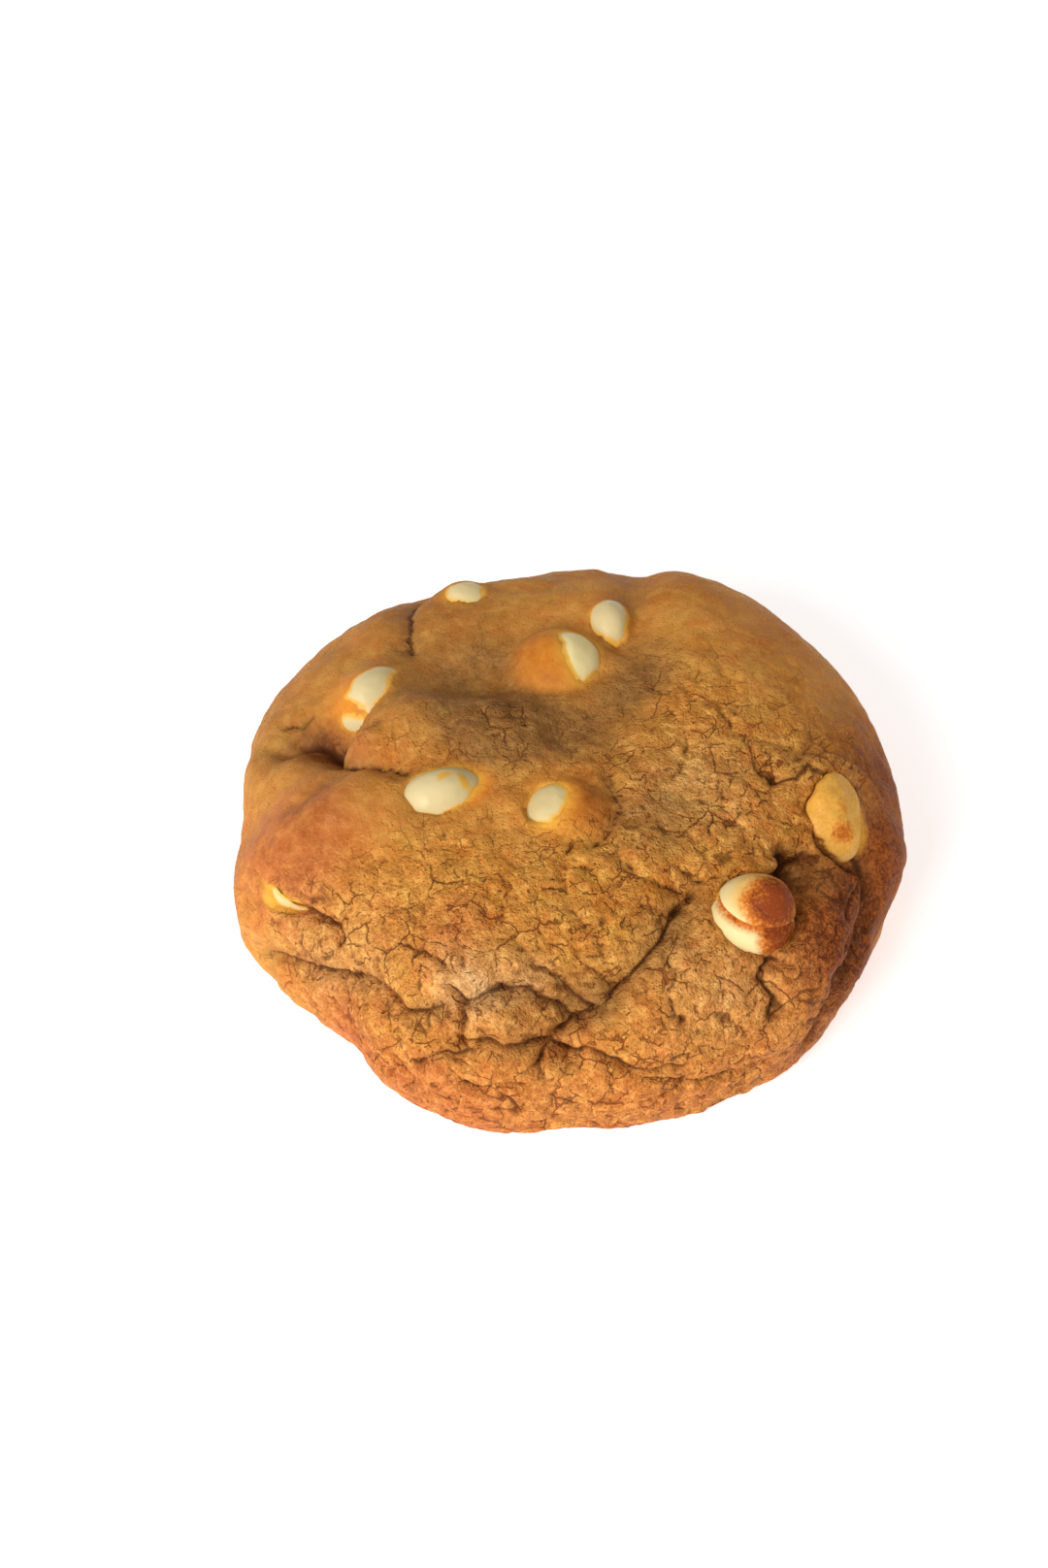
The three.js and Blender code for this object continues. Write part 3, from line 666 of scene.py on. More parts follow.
def relief(points, outwards):
    """How far the crust stands out from the plain dome, and the masks of its cracks and gaps, which carry
    painted shade.
    """
    rise = np.zeros(points.shape[:-1])
    # The crack mask holds painted shade: in cracks, pits, open plate walls and creases
    crack, valley_shade = np.zeros(len(points)), np.zeros(len(points))
    for bearing, reach, spread, height in LUMPS.values():
        rise += height * bell(distance_to(points, place(bearing, reach)), spread)
    wander = FOLD_WANDER * drift(points, 3.5, 21) + 0.35 * drift(points, 1.1, 24)
    wandered = points + wander - (wander * outwards).sum(-1, keepdims=True) * outwards
    uneven_width = 0.55 + 0.9 * smooth_noise(points, 1.6, 27)
    for route, soft_spread, soft_depth, spread, depth in [*FOLDS.values(), *THIN_CRACKS.values()]:
        far = distance_to_route(wandered, route_on_dome(route))
        spread = max(spread, 0.1) * uneven_width
        rise -= soft_depth * bell(far, soft_spread) + depth * bell(far, spread)
        # Painted shade along the valley of each fold
        valley_shade = np.maximum(valley_shade, bell(far, 0.8 * soft_spread) * min(1, soft_depth))
        if depth:
            crack = np.maximum(crack, bell(far, 0.8 * spread) * min(1, 0.5 + depth))
    for bearing, reach in PITS:
        hole = bell(distance_to(wandered, place(bearing, reach)), PIT_SPREAD)
        rise -= PIT_DEPTH * hole
        crack = np.maximum(crack, hole)
    amount = crackle_amount(points)
    for k, sizes in enumerate(PLATES):
        height, crack_shade = plates(points, amount, *sizes, seed=40 + 20 * k)
        rise += height
        crack = np.maximum(crack, 0.8 * crack_shade)
    for k, sizes in enumerate(CREASES):
        depth, line = creases(points, *sizes, seed=150 + 10 * k)
        rise -= depth * amount
        crack = np.maximum(crack, 0.6 * line * amount)
    for size, height, seed in UNEVEN:
        rise += height * (smooth_noise(points, size, seed) - 0.5)
    rise += CRUMBS_HEIGHT * (smooth_noise(points, CRUMBS_SIZE, 35) - 0.5) * (0.35 + amount)
    rise, over_chips = dress_chips(points, outwards, rise)
    amount = amount * (1 - 0.7 * over_chips["glaze"])
    return rise, {"crack": crack, "crackle": amount, "valley_shade": valley_shade, **over_chips}


print("masks of the relief:", sorted(relief(*plain_crust(np.zeros(1), np.zeros(1)))[1]))

# %% [markdown]
# The mesh of the crust. A square grid would waste points at the middle or leave the rim coarse. Rings
# of 6, 12, 18 points and so on, out to the widest ring, keep all triangles nearly the same size,
# and even rings then run down the side and close the underside.

# %% Ring grid
RINGS_ABOVE = 140
RINGS_BELOW = 38
UNDERSIDE_RINGS = 6
UNDERSIDE_CRACKLE = 0.35


def ring_faces(first_inner, first_outer, steps):
    """Triangles between a ring of 6*(steps-1) points and the next one of 6*steps points."""
    inner_count, outer_count = 6 * (steps - 1), 6 * steps
    faces = []
    for side in range(6):
        j = np.arange(steps)
        a = first_outer + side * steps + j
        b = first_outer + (side * steps + j + 1) % outer_count
        c = first_inner + (side * (steps - 1) + j) % max(inner_count, 1)
        faces.append(np.stack([a, b, c], -1))
        d = first_inner + (side * (steps - 1) + j + 1) % max(inner_count, 1)
        faces.append(np.stack([c, b, d], -1)[: steps - 1])
    return np.concatenate(faces)


def band_faces(first_upper, first_lower, count):
    """Two triangles for each step between two rings of the same count."""
    j = np.arange(count)
    k = (j + 1) % count
    one = np.stack([first_upper + j, first_lower + j, first_lower + k], -1)
    two = np.stack([first_upper + j, first_lower + k, first_upper + k], -1)
    return np.concatenate([one, two])


def crust_grid():
    """Reach and bearing of every point of the crust, and the triangles down to the base edge."""
    reach, bearing, faces = [np.zeros(1)], [np.zeros(1)], []
    first = 0
    for k in range(1, RINGS_ABOVE + 1):
        next_first = first + (1 if k == 1 else 6 * (k - 1))
        reach.append(np.full(6 * k, BELLY_REACH * k / RINGS_ABOVE))
        bearing.append(np.arange(6 * k) * (2 * np.pi / (6 * k)))
        faces.append(ring_faces(first, next_first, k))
        first = next_first
    around = 6 * RINGS_ABOVE
    for k in range(1, RINGS_BELOW + 1):
        reach.append(np.full(around, BELLY_REACH + (1 - BELLY_REACH) * k / RINGS_BELOW))
        bearing.append(np.arange(around) * (2 * np.pi / around))
        faces.append(band_faces(first, first + around, around))
        first += around
    return np.concatenate(reach), np.concatenate(bearing), faces, first


reach, bearing, crust_faces, base_ring = crust_grid()
print("crust points:", len(reach))

# %% Shape the crust and close its underside
def shape_crust():
    """Points of the whole crust in mm, all its triangles, and the masks of its looks."""
    points, outwards = plain_crust(bearing, reach)
    rise, masks = relief(points, outwards)
    fade = np.clip((1 - reach) / BASE_EDGE_FADE, 0, 1)
    shaped = points + outwards * (rise * fade)[:, None]
    shaped[:, 2] = np.maximum(shaped[:, 2], 0)
    around = 6 * RINGS_ABOVE
    edge = shaped[base_ring:base_ring + around]
    faces = list(crust_faces)
    rings = [shaped]
    first = base_ring
    next_first = len(shaped)
    for k in range(1, UNDERSIDE_RINGS + 1):
        rings.append(edge * (1 - k / (UNDERSIDE_RINGS + 1)))
        faces.append(band_faces(first, next_first, around))
        first, next_first = next_first, next_first + around
    j = np.arange(around)
    centre = np.full(around, next_first)
    faces.append(np.stack([first + j, centre, first + (j + 1) % around], -1))
    rings.append(np.zeros((1, 3)))
    everything = np.concatenate(rings)
    flat_count = len(everything) - len(shaped)
    padded = {name: np.concatenate([values, np.zeros(flat_count)]) for name, values in masks.items()}
    padded["crackle"][len(shaped):] = UNDERSIDE_CRACKLE
    return everything, np.concatenate(faces), padded


crust_points, crust_triangles, crust_masks = shape_crust()
print("crust triangles:", len(crust_triangles))
print("crust box, mm:", (crust_points.min(0) + PLAN_SHIFT).round(2), (crust_points.max(0) + PLAN_SHIFT).round(2))

# %% [markdown]
# Colour follows the bake. High, thin places brown first and turn reddish, and some flakes stay pale. Shade is
# painted into the colour as well: greyish in the hollows and folds, darker on the side away from the lamp, and
# dark between flakes; the pale ridge at the front also carries a painted highlight. The masks are worked out at
# the points of the mesh and kept as attributes, and the material mixes its colours by them.

# %% Where the crust is browned, pale, and painted with shade and highlight
# Bearing, reach, spread and amount of each patch
BROWNED = [
    (196, 0.33, 8, 0.9), (243, 0.30, 5, 0.7), (325, 0.50, 9, 0.8), (350, 0.55, 9, 0.8),
    (10, 0.50, 9, 0.5), (250, 0.85, 14, 1.0), (225, 0.80, 10, 0.7), (285, 0.85, 16, 0.7),
    (320, 0.78, 12, 0.8), (40, 0.50, 12, 0.35), (190, 0.62, 8, 0.5), (205, 0.10, 4, 0.2),
    (80, 0.60, 14, 0.4), (120, 0.62, 14, 0.4), (150, 0.62, 10, 0.3), (174, 0.25, 3, 0.9), (199, 0.42, 8, 0.9),
]
# Deep reddish brown: browned edges, and painted shade on the right side away from the lamp and in the left
# hollow
DEEP_BROWN_AND_SHADE = [
    (325, 0.50, 8, 0.9), (345, 0.58, 9, 0.9), (335, 0.66, 9, 0.8), (12, 0.50, 8, 0.45), (318, 0.74, 7, 0.5),
    (5, 0.62, 9, 0.6), (167, 0.38, 4.0, 1.4), (201, 0.40, 6, 0.35),
]
# Painted shade: greyish brown in the crater, the hollows and valleys, beside some chips and at the back
PAINTED_SHADE = [
    (112, 0.15, 10, 0.7), (134, 0.20, 8, 0.6), (58, 0.12, 6, 0.6), (172, 0.31, 4.5, 0.9),
    (166, 0.52, 8, 0.45), (313, 0.12, 5, 0.7), (125, 0.42, 9, 0.35), (152, 0.12, 6, 0.6),
    (262, 0.46, 5.5, 0.3), (274, 0.41, 4, 0.7), (292, 0.30, 4.5, 0.5), (205, 0.17, 4, 0.5),
    (295, 0.05, 4, 0.3), (335, 0.12, 6, 0.1), (332, 0.36, 3.5, 0.7), (100, 0.40, 9, 0.3),
    (156, 0.07, 8, 1.3), (100, 0.03, 6, 0.6), (157, 0.22, 5, 0.4), (20, 0.03, 6, 0.2), (150, 0.45, 8, 0.3),
]
# Pale dry flakes, with a painted highlight on the ridge at the front
PALE_AND_HIGHLIGHT = [
    (250, 0.40, 4.5, 0.9), (262, 0.36, 3, 0.4), (225, 0.45, 6, 0.2), (215, 0.60, 6, 0.3), (300, 0.45, 8, 0.3),
    (345, 0.14, 8, 0.35),
]
BAKE = {"browned": BROWNED, "deep_brown_and_shade": DEEP_BROWN_AND_SHADE, "painted_shade": PAINTED_SHADE, "pale_and_highlight": PALE_AND_HIGHLIGHT}


def bake_mask(points, table):
    """Sum of the table's patches, broken up by noise so that none has a clean edge."""
    broken = 0.65 + 0.7 * smooth_noise(points, 6.0, 71) * (0.5 + smooth_noise(points, 1.8, 73))
    return np.clip(patches(points, table) * broken, 0, 1)


plain_points = plain_crust(bearing, reach)[0]
no_patches_below = np.zeros(len(crust_points) - len(plain_points))
for name, table in BAKE.items():
    crust_masks[name] = np.concatenate([bake_mask(plain_points, table), no_patches_below])
crust_masks["underside"] = step_up(-crust_points[:, 2], -1.2, 0.0)
print({name: round(float(values.mean()), 3) for name, values in crust_masks.items()})

# %% Put arrays into a mesh
def make_piece(name, points_mm, triangles, masks, node):
    """A smooth-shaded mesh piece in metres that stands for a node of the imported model."""
    mesh = bpy.data.meshes.new(name)
    placed = (points_mm + PLAN_SHIFT) * MM
    mesh.vertices.add(len(placed))
    mesh.vertices.foreach_set("co", placed.astype(np.float32).ravel())
    mesh.loops.add(triangles.size)
    mesh.loops.foreach_set("vertex_index", triangles.astype(np.int32).ravel())
    mesh.polygons.add(len(triangles))
    mesh.polygons.foreach_set("loop_start", np.arange(0, triangles.size, 3, dtype=np.int32))
    mesh.polygons.foreach_set("use_smooth", np.ones(len(triangles), bool))
    for mask, values in masks.items():
        layer = mesh.attributes.new(mask, "FLOAT", "POINT")
        layer.data.foreach_set("value", values.astype(np.float32))
    mesh.update()
    mesh.validate()
    piece = bpy.data.objects.new(name, mesh)
    bpy.context.scene.collection.objects.link(piece)
    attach(piece, "root")
    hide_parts(node)
    return piece


crust = make_piece("crust", crust_points, crust_triangles, crust_masks, "dough")
print("crust attributes:", [layer.name for layer in crust.data.attributes if layer.name in crust_masks])

# %% [markdown]
# A chip is a drop turned about the direction of its tip: a blunt foot that is sunk in the dough, a
# widest ring and a rounded tip. Soft noise takes the machine-made look off it. The toasted chip
# kept the swirl of its nozzle, so a groove runs round under its cap.

# %% Fine chips
CHIP_FOOT_SHARE = 0.7
CHIP_COLUMNS = 96
CHIP_ROWS_UP = 44
CHIP_ROWS_DOWN = 14


def chip_surface(middle, tip, radius, height, pointed, long_side, stretch):
    """Points of the chip in mm: a turned profile about the direction of its tip.

    The foot is a quarter of an oval, and above it the radius falls with a power of the height.
    """
    down = np.linspace(1, 0, CHIP_ROWS_DOWN, endpoint=False) * np.pi / 2
    up = np.sin(np.linspace(0, 1, CHIP_ROWS_UP, endpoint=False) * np.pi / 2)
    foot_radius = radius * (CHIP_FOOT_SHARE + (1 - CHIP_FOOT_SHARE) * np.cos(down))
    top_radius = radius * (1 - up ** (2 - 0.8 * pointed)) ** (0.5 + 0.35 * pointed)
    r = np.concatenate([foot_radius, top_radius])
    h = np.concatenate([-CHIP_DEPTH * np.sin(down), height * up])
    turn = np.arange(CHIP_COLUMNS) * (2 * np.pi / CHIP_COLUMNS)
    side, across, axis = chip_axes(tip, long_side)
    ring = stretch * np.cos(turn)[None, :, None] * side + np.sin(turn)[None, :, None] * across
    body = np.array(middle) + r[:, None, None] * ring + h[:, None, None] * axis
    foot = np.array(middle) - CHIP_DEPTH * axis
    peak = np.array(middle) + height * axis
    return np.concatenate([foot[None], body.reshape(-1, 3), peak[None]])


def chip_faces():
    """Triangles of the chip grid, with a fan at the foot and at the tip."""
    rows = CHIP_ROWS_DOWN + CHIP_ROWS_UP
    j = np.arange(CHIP_COLUMNS)
    k = (j + 1) % CHIP_COLUMNS
    faces = [np.stack([np.zeros_like(j), 1 + k, 1 + j], -1)]
    for row in range(rows - 1):
        low, high = 1 + row * CHIP_COLUMNS, 1 + (row + 1) * CHIP_COLUMNS
        faces.append(np.stack([low + j, low + k, high + k], -1))
        faces.append(np.stack([low + j, high + k, high + j], -1))
    last = 1 + (rows - 1) * CHIP_COLUMNS
    faces.append(np.stack([last + j, last + k, np.full_like(j, 1 + rows * CHIP_COLUMNS)], -1))
    return np.concatenate(faces)


def soften(points, middle, amount, seed):
    """Moves points out from the chip's middle by smooth noise."""
    away = points - np.array(middle)
    away /= np.maximum(np.linalg.norm(away, axis=-1, keepdims=True), 1e-6)
    wave = smooth_noise(points, 3.2, seed) - 0.5 + 0.35 * (smooth_noise(points, 1.2, seed + 1) - 0.5)
    return points + away * (amount * (wave + 0.3))[:, None]


# Lean of the groove's plane along the tip, cross and long directions, its place, width and depth
GROOVE_LEAN = (0.9, 0.32, -0.12)
GROOVE_PLACE, GROOVE_WIDTH, CAP_EDGE, CAP_GROOVE = 1.9, 1.0, 0.4, 0.95


def under_cap(points, chip):
    """1 in the groove under the cap of a chip: a bell below the cap's edge, cut off above it."""
    side, across, axis = chip_axes(chip[1], chip[5])
    lean = (points - np.array(chip[0])) @ (np.array(GROOVE_LEAN) @ np.stack([axis, across, side]))
    below_cap = bell(np.minimum(lean - GROOVE_PLACE, 0), GROOVE_WIDTH)
    return below_cap * (1 - step_up(lean, GROOVE_PLACE, GROOVE_PLACE + CAP_EDGE))


print("chip triangles:", len(chip_faces()), "each")

# %% [markdown]
# Every chip baked differently. One stood out of the dough and toasted on top, one lies flat and
# turned golden all over, and caramel ran in drops on others. Soft oval marks are enough for that.

# %% Marks on each chip
# Offset from its middle, half width, long direction, stretch, soft edge, mm, and strength.
# Toast is brown, honey is golden.
TOAST = {
    "chip_right_flat": [
        ((0, 0, 1.5), 6.0, (0.3, -1, -0.2), 1.4, 2.0, 0.2),
        ((0.5, -2.8, 0.8), 1.4, (0.3, -1, -0.2), 1.6, 1.7, 0.6),
        ((0.4, 0.2, 2.2), 1.2, (0.3, -1, 0), 1.4, 1.5, 0.45),
    ],
    "chip_front_toasted": [
        ((2.6, -1.8, 4.6), 3.6, (1, 0, 0), 1.0, 2.8, 1.0),
        ((3.2, -3.6, 0.6), 3.2, (0, 0, 1), 1.0, 1.8, 0.8),
    ],
}
HONEY = {
    "chip_middle_cone": [
        ((-0.3, 0.3, 3.8), 0.4, (0.8, 0.6, 0), 3.0, 0.4, 0.52),
        ((2.4, -0.3, 3.3), 0.8, (0.8, -0.6, -0.3), 2.2, 0.6, 0.56),
    ],
    "chip_right_flat": [((0, 0, 1.5), 6.0, (0.3, -1, -0.2), 1.4, 2.0, 0.42)],
    "chip_front_toasted": [((1.8, -0.6, 5.0), 5.2, (1, 0, 0), 1.0, 1.4, 0.32)],
    "chip_left_front": [((-1.7, -3.8, 1.3), 4.0, (1, 0, 0), 1.0, 1.0, 0.12)],
}
# How uneven a bare chip is, mm
LUMPY = {"chip_right_flat": 1.3}
LEAST_LUMPY = 0.35
# Painted light: how much brighter cream a chip is given, from 0 to 1
PAINTED_LIGHT = {"chip_back_dome": 1.0, "chip_back_rim": 0.4, "chip_front_toasted": 0.5}
SLOTS = {
    "chip_back_dome": "glazed_chocolate", "chip_middle_dome": "glazed_chocolate",
    "chip_right_flat": "toasted_chocolate", "chip_front_toasted": "toasted_chocolate",
}
print(sum(len(marks) for marks in [*TOAST.values(), *HONEY.values()]), "marks")

# %% Make the chips
def marked(points, middle, marks):
    """The strongest of a chip's marks at each point.

    A mark is its strength inside an oval that is stretched along a direction, with a soft edge.
    """
    total = np.zeros(len(points))
    for offset, half_width, long_way, stretch, softness, strength in marks:
        away = ragged(points) - (np.array(middle) + offset)
        direction = np.array(long_way) / np.linalg.norm(long_way)
        away -= np.outer(away @ direction, direction) * (1 - 1 / stretch)
        inside = half_width - np.linalg.norm(away, axis=-1)
        total = np.maximum(total, strength * step_up(inside, -softness, softness))
    return total


def make_chip(name, sizes, seed):
    """One chip as a piece, with masks of its caramel film, its toast and its painted light."""
    points, middle = chip_surface(*sizes), np.array(sizes[0])
    groove = under_cap(points, sizes) if name == "chip_front_toasted" else np.zeros(len(points))
    points = points - (points - middle) / sizes[2] * (CAP_GROOVE * groove)[:, None]
    bare_share = step_up(uncovered(points, name) + WINDOW_EASE, 0, 1.5)
    points = soften(points, middle, LUMPY.get(name, LEAST_LUMPY) * bare_share, seed)
    film = step_up(-uncovered(points, name) - WINDOW_EASE, -1.0, 0.9)
    masks = {
        "film": np.maximum(film, marked(points, middle, HONEY.get(name, []))),
        "toast": np.maximum(marked(points, middle, TOAST.get(name, [])), 0.5 * groove),
        "painted_light": np.full(len(points), PAINTED_LIGHT.get(name, 0.0)),
    }
    return make_piece(name.replace("chip", "drop", 1), points, chip_faces(), masks, name)


chips = {name: make_chip(name, sizes, 90 + k) for k, (name, sizes) in enumerate(CHIPS.items())}
print("made:", sorted(piece.name for piece in chips.values()))

# %% [markdown]
# Materials. Three effects are shared: fine grain for relief, crackle for flakes and fine cracks, and
# mottling for colour. Each becomes a node group with its own inputs, so that the crust and the
# chips use it with other values.

# %% Node helpers
def group_sockets(group, inputs, outputs):
    """Adds float inputs with their starting values, and outputs, to a node group."""
    for name, value in inputs.items():
        socket_in = group.interface.new_socket(name, in_out="INPUT", socket_type="NodeSocketFloat")
        socket_in.default_value = value
    for name in outputs:
        group.interface.new_socket(name, in_out="OUTPUT", socket_type="NodeSocketFloat")


class Sheet:
    """Short ways to add and link nodes in one node tree."""

    def __init__(self, tree):
        """Works on one node tree."""
        self.tree = tree

    def add(self, kind, **settings):
        """A new node with its settings."""
        node = self.tree.nodes.new(kind)
        for name, value in settings.items():
            setattr(node, name, value)
        return node

    def feed(self, socket, value):
        """Links another node's socket to this one, or sets its plain value."""
        if isinstance(value, bpy.types.NodeSocket):
            self.tree.links.new(value, socket)
        else:
            socket.default_value = value

    def math(self, operation, *values, clamp=False):
        """One step of arithmetic."""
        node = self.add("ShaderNodeMath", operation=operation, use_clamp=clamp)
        for socket, value in zip(node.inputs, values):
            self.feed(socket, value)
        return node.outputs[0]

    def ramp(self, value, low, high, to_low=0.0, to_high=1.0):
        """A smooth passage from one value to another while the input goes from low to high."""
        node = self.add("ShaderNodeMapRange", interpolation_type="SMOOTHSTEP")
        for socket, number in zip(node.inputs[:5], (value, low, high, to_low, to_high)):
            self.feed(socket, number)
        return node.outputs[0]

    def noise(self, vector, size_mm, detail=2.0, rough=0.5):
        """Noise with blobs of about the given size."""
        node = self.add("ShaderNodeTexNoise")
        self.feed(node.inputs["Vector"], vector)
        node.inputs["Scale"].default_value = 1 / (size_mm * MM)
        node.inputs["Detail"].default_value = detail
        node.inputs["Roughness"].default_value = rough
        return node.outputs["Fac"]

    def mix(self, factor, a, b, blend="MIX"):
        """Colour between a and b by the factor."""
        node = self.add("ShaderNodeMix", data_type="RGBA", blend_type=blend)
        self.feed(node.inputs["Factor"], factor)
        self.feed(node.inputs["A"], a)
        self.feed(node.inputs["B"], b)
        return node.outputs["Result"]

    def mask(self, name):
        """A mask that was stored on the mesh."""
        node = self.add("ShaderNodeAttribute", attribute_name=name)
        return node.outputs["Fac"]


def rgb(red, green, blue):
    """Colour as it looks on a screen, 0 to 255, turned to the linear values that a shader needs."""
    screen = np.array([red, green, blue]) / 255
    linear = np.where(screen <= 0.04045, screen / 12.92, ((screen + 0.055) / 1.055) ** 2.4)
    return (*linear.tolist(), 1.0)


print("golden dough as linear values:", [round(value, 3) for value in rgb(200, 126, 45)])

# %% Shared group: grain
def grain_group():
    """Height of fine crumbs: coarse and fine noise and tiny pits, weighed by its inputs."""
    group = bpy.data.node_groups.new("crumb grain", "ShaderNodeTree")
    group_sockets(group, {"Coarse": 0.5, "Fine": 0.5, "Pits": 0.5}, ["Height"])
    sheet = Sheet(group)
    ports_in = sheet.add("NodeGroupInput").outputs
    where = sheet.add("ShaderNodeTexCoord").outputs["Object"]
    coarse = sheet.noise(where, 0.9, 3.0, 0.6)
    fine = sheet.noise(where, 0.28, 2.0, 0.6)
    spots = sheet.add("ShaderNodeTexVoronoi")
    sheet.feed(spots.inputs["Vector"], where)
    spots.inputs["Scale"].default_value = 1 / (0.7 * MM)
    pits = sheet.ramp(spots.outputs["Distance"], 0.1, 0.32)
    height = sheet.math("MULTIPLY", coarse, ports_in["Coarse"])
    height = sheet.math("ADD", height, sheet.math("MULTIPLY", fine, ports_in["Fine"]))
    height = sheet.math("ADD", height, sheet.math("MULTIPLY", pits, ports_in["Pits"]))
    sheet.feed(sheet.add("NodeGroupOutput").inputs["Height"], height)
    return group


GRAIN = grain_group()
print("grain nodes:", len(GRAIN.nodes))

# %% Shared group: flakes and their cracks
FLAKES = [
    # Size in mm, width of a crack in sizes, values of the noise between which walls open, strength
    (5.2, 0.026, 0.50, 0.57, 1.0),
    (2.5, 0.040, 0.53, 0.60, 0.9),
]
# Size of the noise that pushes the walls about, and how far, mm
PUSHES = [(2.6, 1.5), (0.8, 0.45)]


def crackle_group():
    """Uneven flakes of crust: the cracks and holes between them, and their swell and shade.

    The flakes are cells of two sizes whose walls are pushed about by noise. A slow noise opens
    some walls as cracks and leaves the others closed. The holes are the middles of a few chosen
    cells. Swell is high in the middle of a flake and low at its wall, and shade is its own tint.
    """
    group = bpy.data.node_groups.new("fine crackle", "ShaderNodeTree")
    group_sockets(group, {"Amount": 1.0}, ["Crack", "Hole", "Swell", "Shade"])
    sheet = Sheet(group)
    ports_in = sheet.add("NodeGroupInput").outputs
    ports_out = sheet.add("NodeGroupOutput").inputs
    where = sheet.add("ShaderNodeTexCoord").outputs["Object"]
    pushed = where
    for size, strength in PUSHES:
        push = sheet.add("ShaderNodeTexNoise")
        sheet.feed(push.inputs["Vector"], where)
        push.inputs["Scale"].default_value = 1 / (size * MM)
        push.inputs["Detail"].default_value = 3.0
        push.inputs["Roughness"].default_value = 0.65
        centred = sheet.add("ShaderNodeVectorMath", operation="SUBTRACT")
        sheet.feed(centred.inputs[0], push.outputs["Color"])
        centred.inputs[1].default_value = (0.5, 0.5, 0.5)
        moved = sheet.add("ShaderNodeVectorMath", operation="MULTIPLY_ADD")
        sheet.feed(moved.inputs[0], centred.outputs[0])
        moved.inputs[1].default_value = (strength * MM,) * 3
        sheet.feed(moved.inputs[2], pushed)
        pushed = moved.outputs[0]
    crack, swell, shade = 0.0, 0.0, 0.0
    for size, width, low, high, weight in FLAKES:
        walls = sheet.add("ShaderNodeTexVoronoi", feature="DISTANCE_TO_EDGE")
        sheet.feed(walls.inputs["Vector"], pushed)
        walls.inputs["Scale"].default_value = 1 / (size * MM)
        tints = sheet.add("ShaderNodeTexVoronoi")
        sheet.feed(tints.inputs["Vector"], pushed)
        tints.inputs["Scale"].default_value = 1 / (size * MM)
        tint = sheet.add("ShaderNodeSeparateColor")
        sheet.feed(tint.inputs[0], tints.outputs["Color"])
        line = sheet.ramp(walls.outputs["Distance"], 0.3 * width, width, weight, 0.0)
        opened = sheet.ramp(sheet.noise(where, 0.9 * size, 2.0, 0.5), low, high)
        crack = sheet.math("MAXIMUM", crack, sheet.math("MULTIPLY", line, opened))
        swell = sheet.math("ADD", swell, sheet.ramp(walls.outputs["Distance"], 0.0, 0.3, 0.0, 0.16 * size))
        shade = sheet.math("MULTIPLY_ADD", tint.outputs[0], 1 / len(FLAKES), shade)
    hole = sheet.ramp(tints.outputs["Distance"], 0.05, 0.10, 1.0, 0.0)
    hole = sheet.math("MULTIPLY", hole, sheet.ramp(tint.outputs[1], 0.72, 0.76))
    sheet.feed(ports_out["Crack"], sheet.math("MULTIPLY", crack, ports_in["Amount"]))
    sheet.feed(ports_out["Hole"], sheet.math("MULTIPLY", hole, ports_in["Amount"]))
    sheet.feed(ports_out["Swell"], sheet.math("MULTIPLY", swell, ports_in["Amount"]))
    sheet.feed(ports_out["Shade"], shade)
    return group


CRACKLE = crackle_group()
print("crackle nodes:", len(CRACKLE.nodes))

# %% Shared group: mottling
MOTTLE_SIZES = {"Clouds": 7.0, "Flush": 3.6, "Crumbs": 1.6, "Specks": 0.45}


def mottle_group():
    """Four noise masks for colour: broad clouds, flushed places, spots like crumbs, fine specks."""
    group = bpy.data.node_groups.new("baked mottling", "ShaderNodeTree")
    group_sockets(group, {"Contrast": 1.0}, MOTTLE_SIZES)
    sheet = Sheet(group)
    ports_in = sheet.add("NodeGroupInput").outputs
    where = sheet.add("ShaderNodeTexCoord").outputs["Object"]
    ports_out = sheet.add("NodeGroupOutput").inputs
    for name, size in MOTTLE_SIZES.items():
        centred = sheet.math("SUBTRACT", sheet.noise(where, size, 3.0, 0.6), 0.5)
        spread = sheet.math("MULTIPLY", centred, ports_in["Contrast"])
        sheet.feed(ports_out[name], sheet.math("MULTIPLY_ADD", spread, 2.4, 0.5, clamp=True))
    return group


MOTTLE = mottle_group()
print("mottling nodes:", len(MOTTLE.nodes))

# %% Use of the groups in a material
def place_group(sheet, group, **values):
    """A group node with its inputs set."""
    node = sheet.add("ShaderNodeGroup", node_tree=group)
    for name, value in values.items():
        sheet.feed(node.inputs[name], value)
    return node.outputs


def new_material(name):
    """An empty node material with a Principled shader and a bump: returns helper, shader, bump."""
    material = bpy.data.materials.new(name)
    material.use_nodes = True
    sheet = Sheet(material.node_tree)
    shader = material.node_tree.nodes["Principled BSDF"]
    bump = sheet.add("ShaderNodeBump")
    sheet.feed(shader.inputs["Normal"], bump.outputs["Normal"])
    return material, sheet, shader, bump


print("shared groups:", sorted(group.name for group in bpy.data.node_groups))
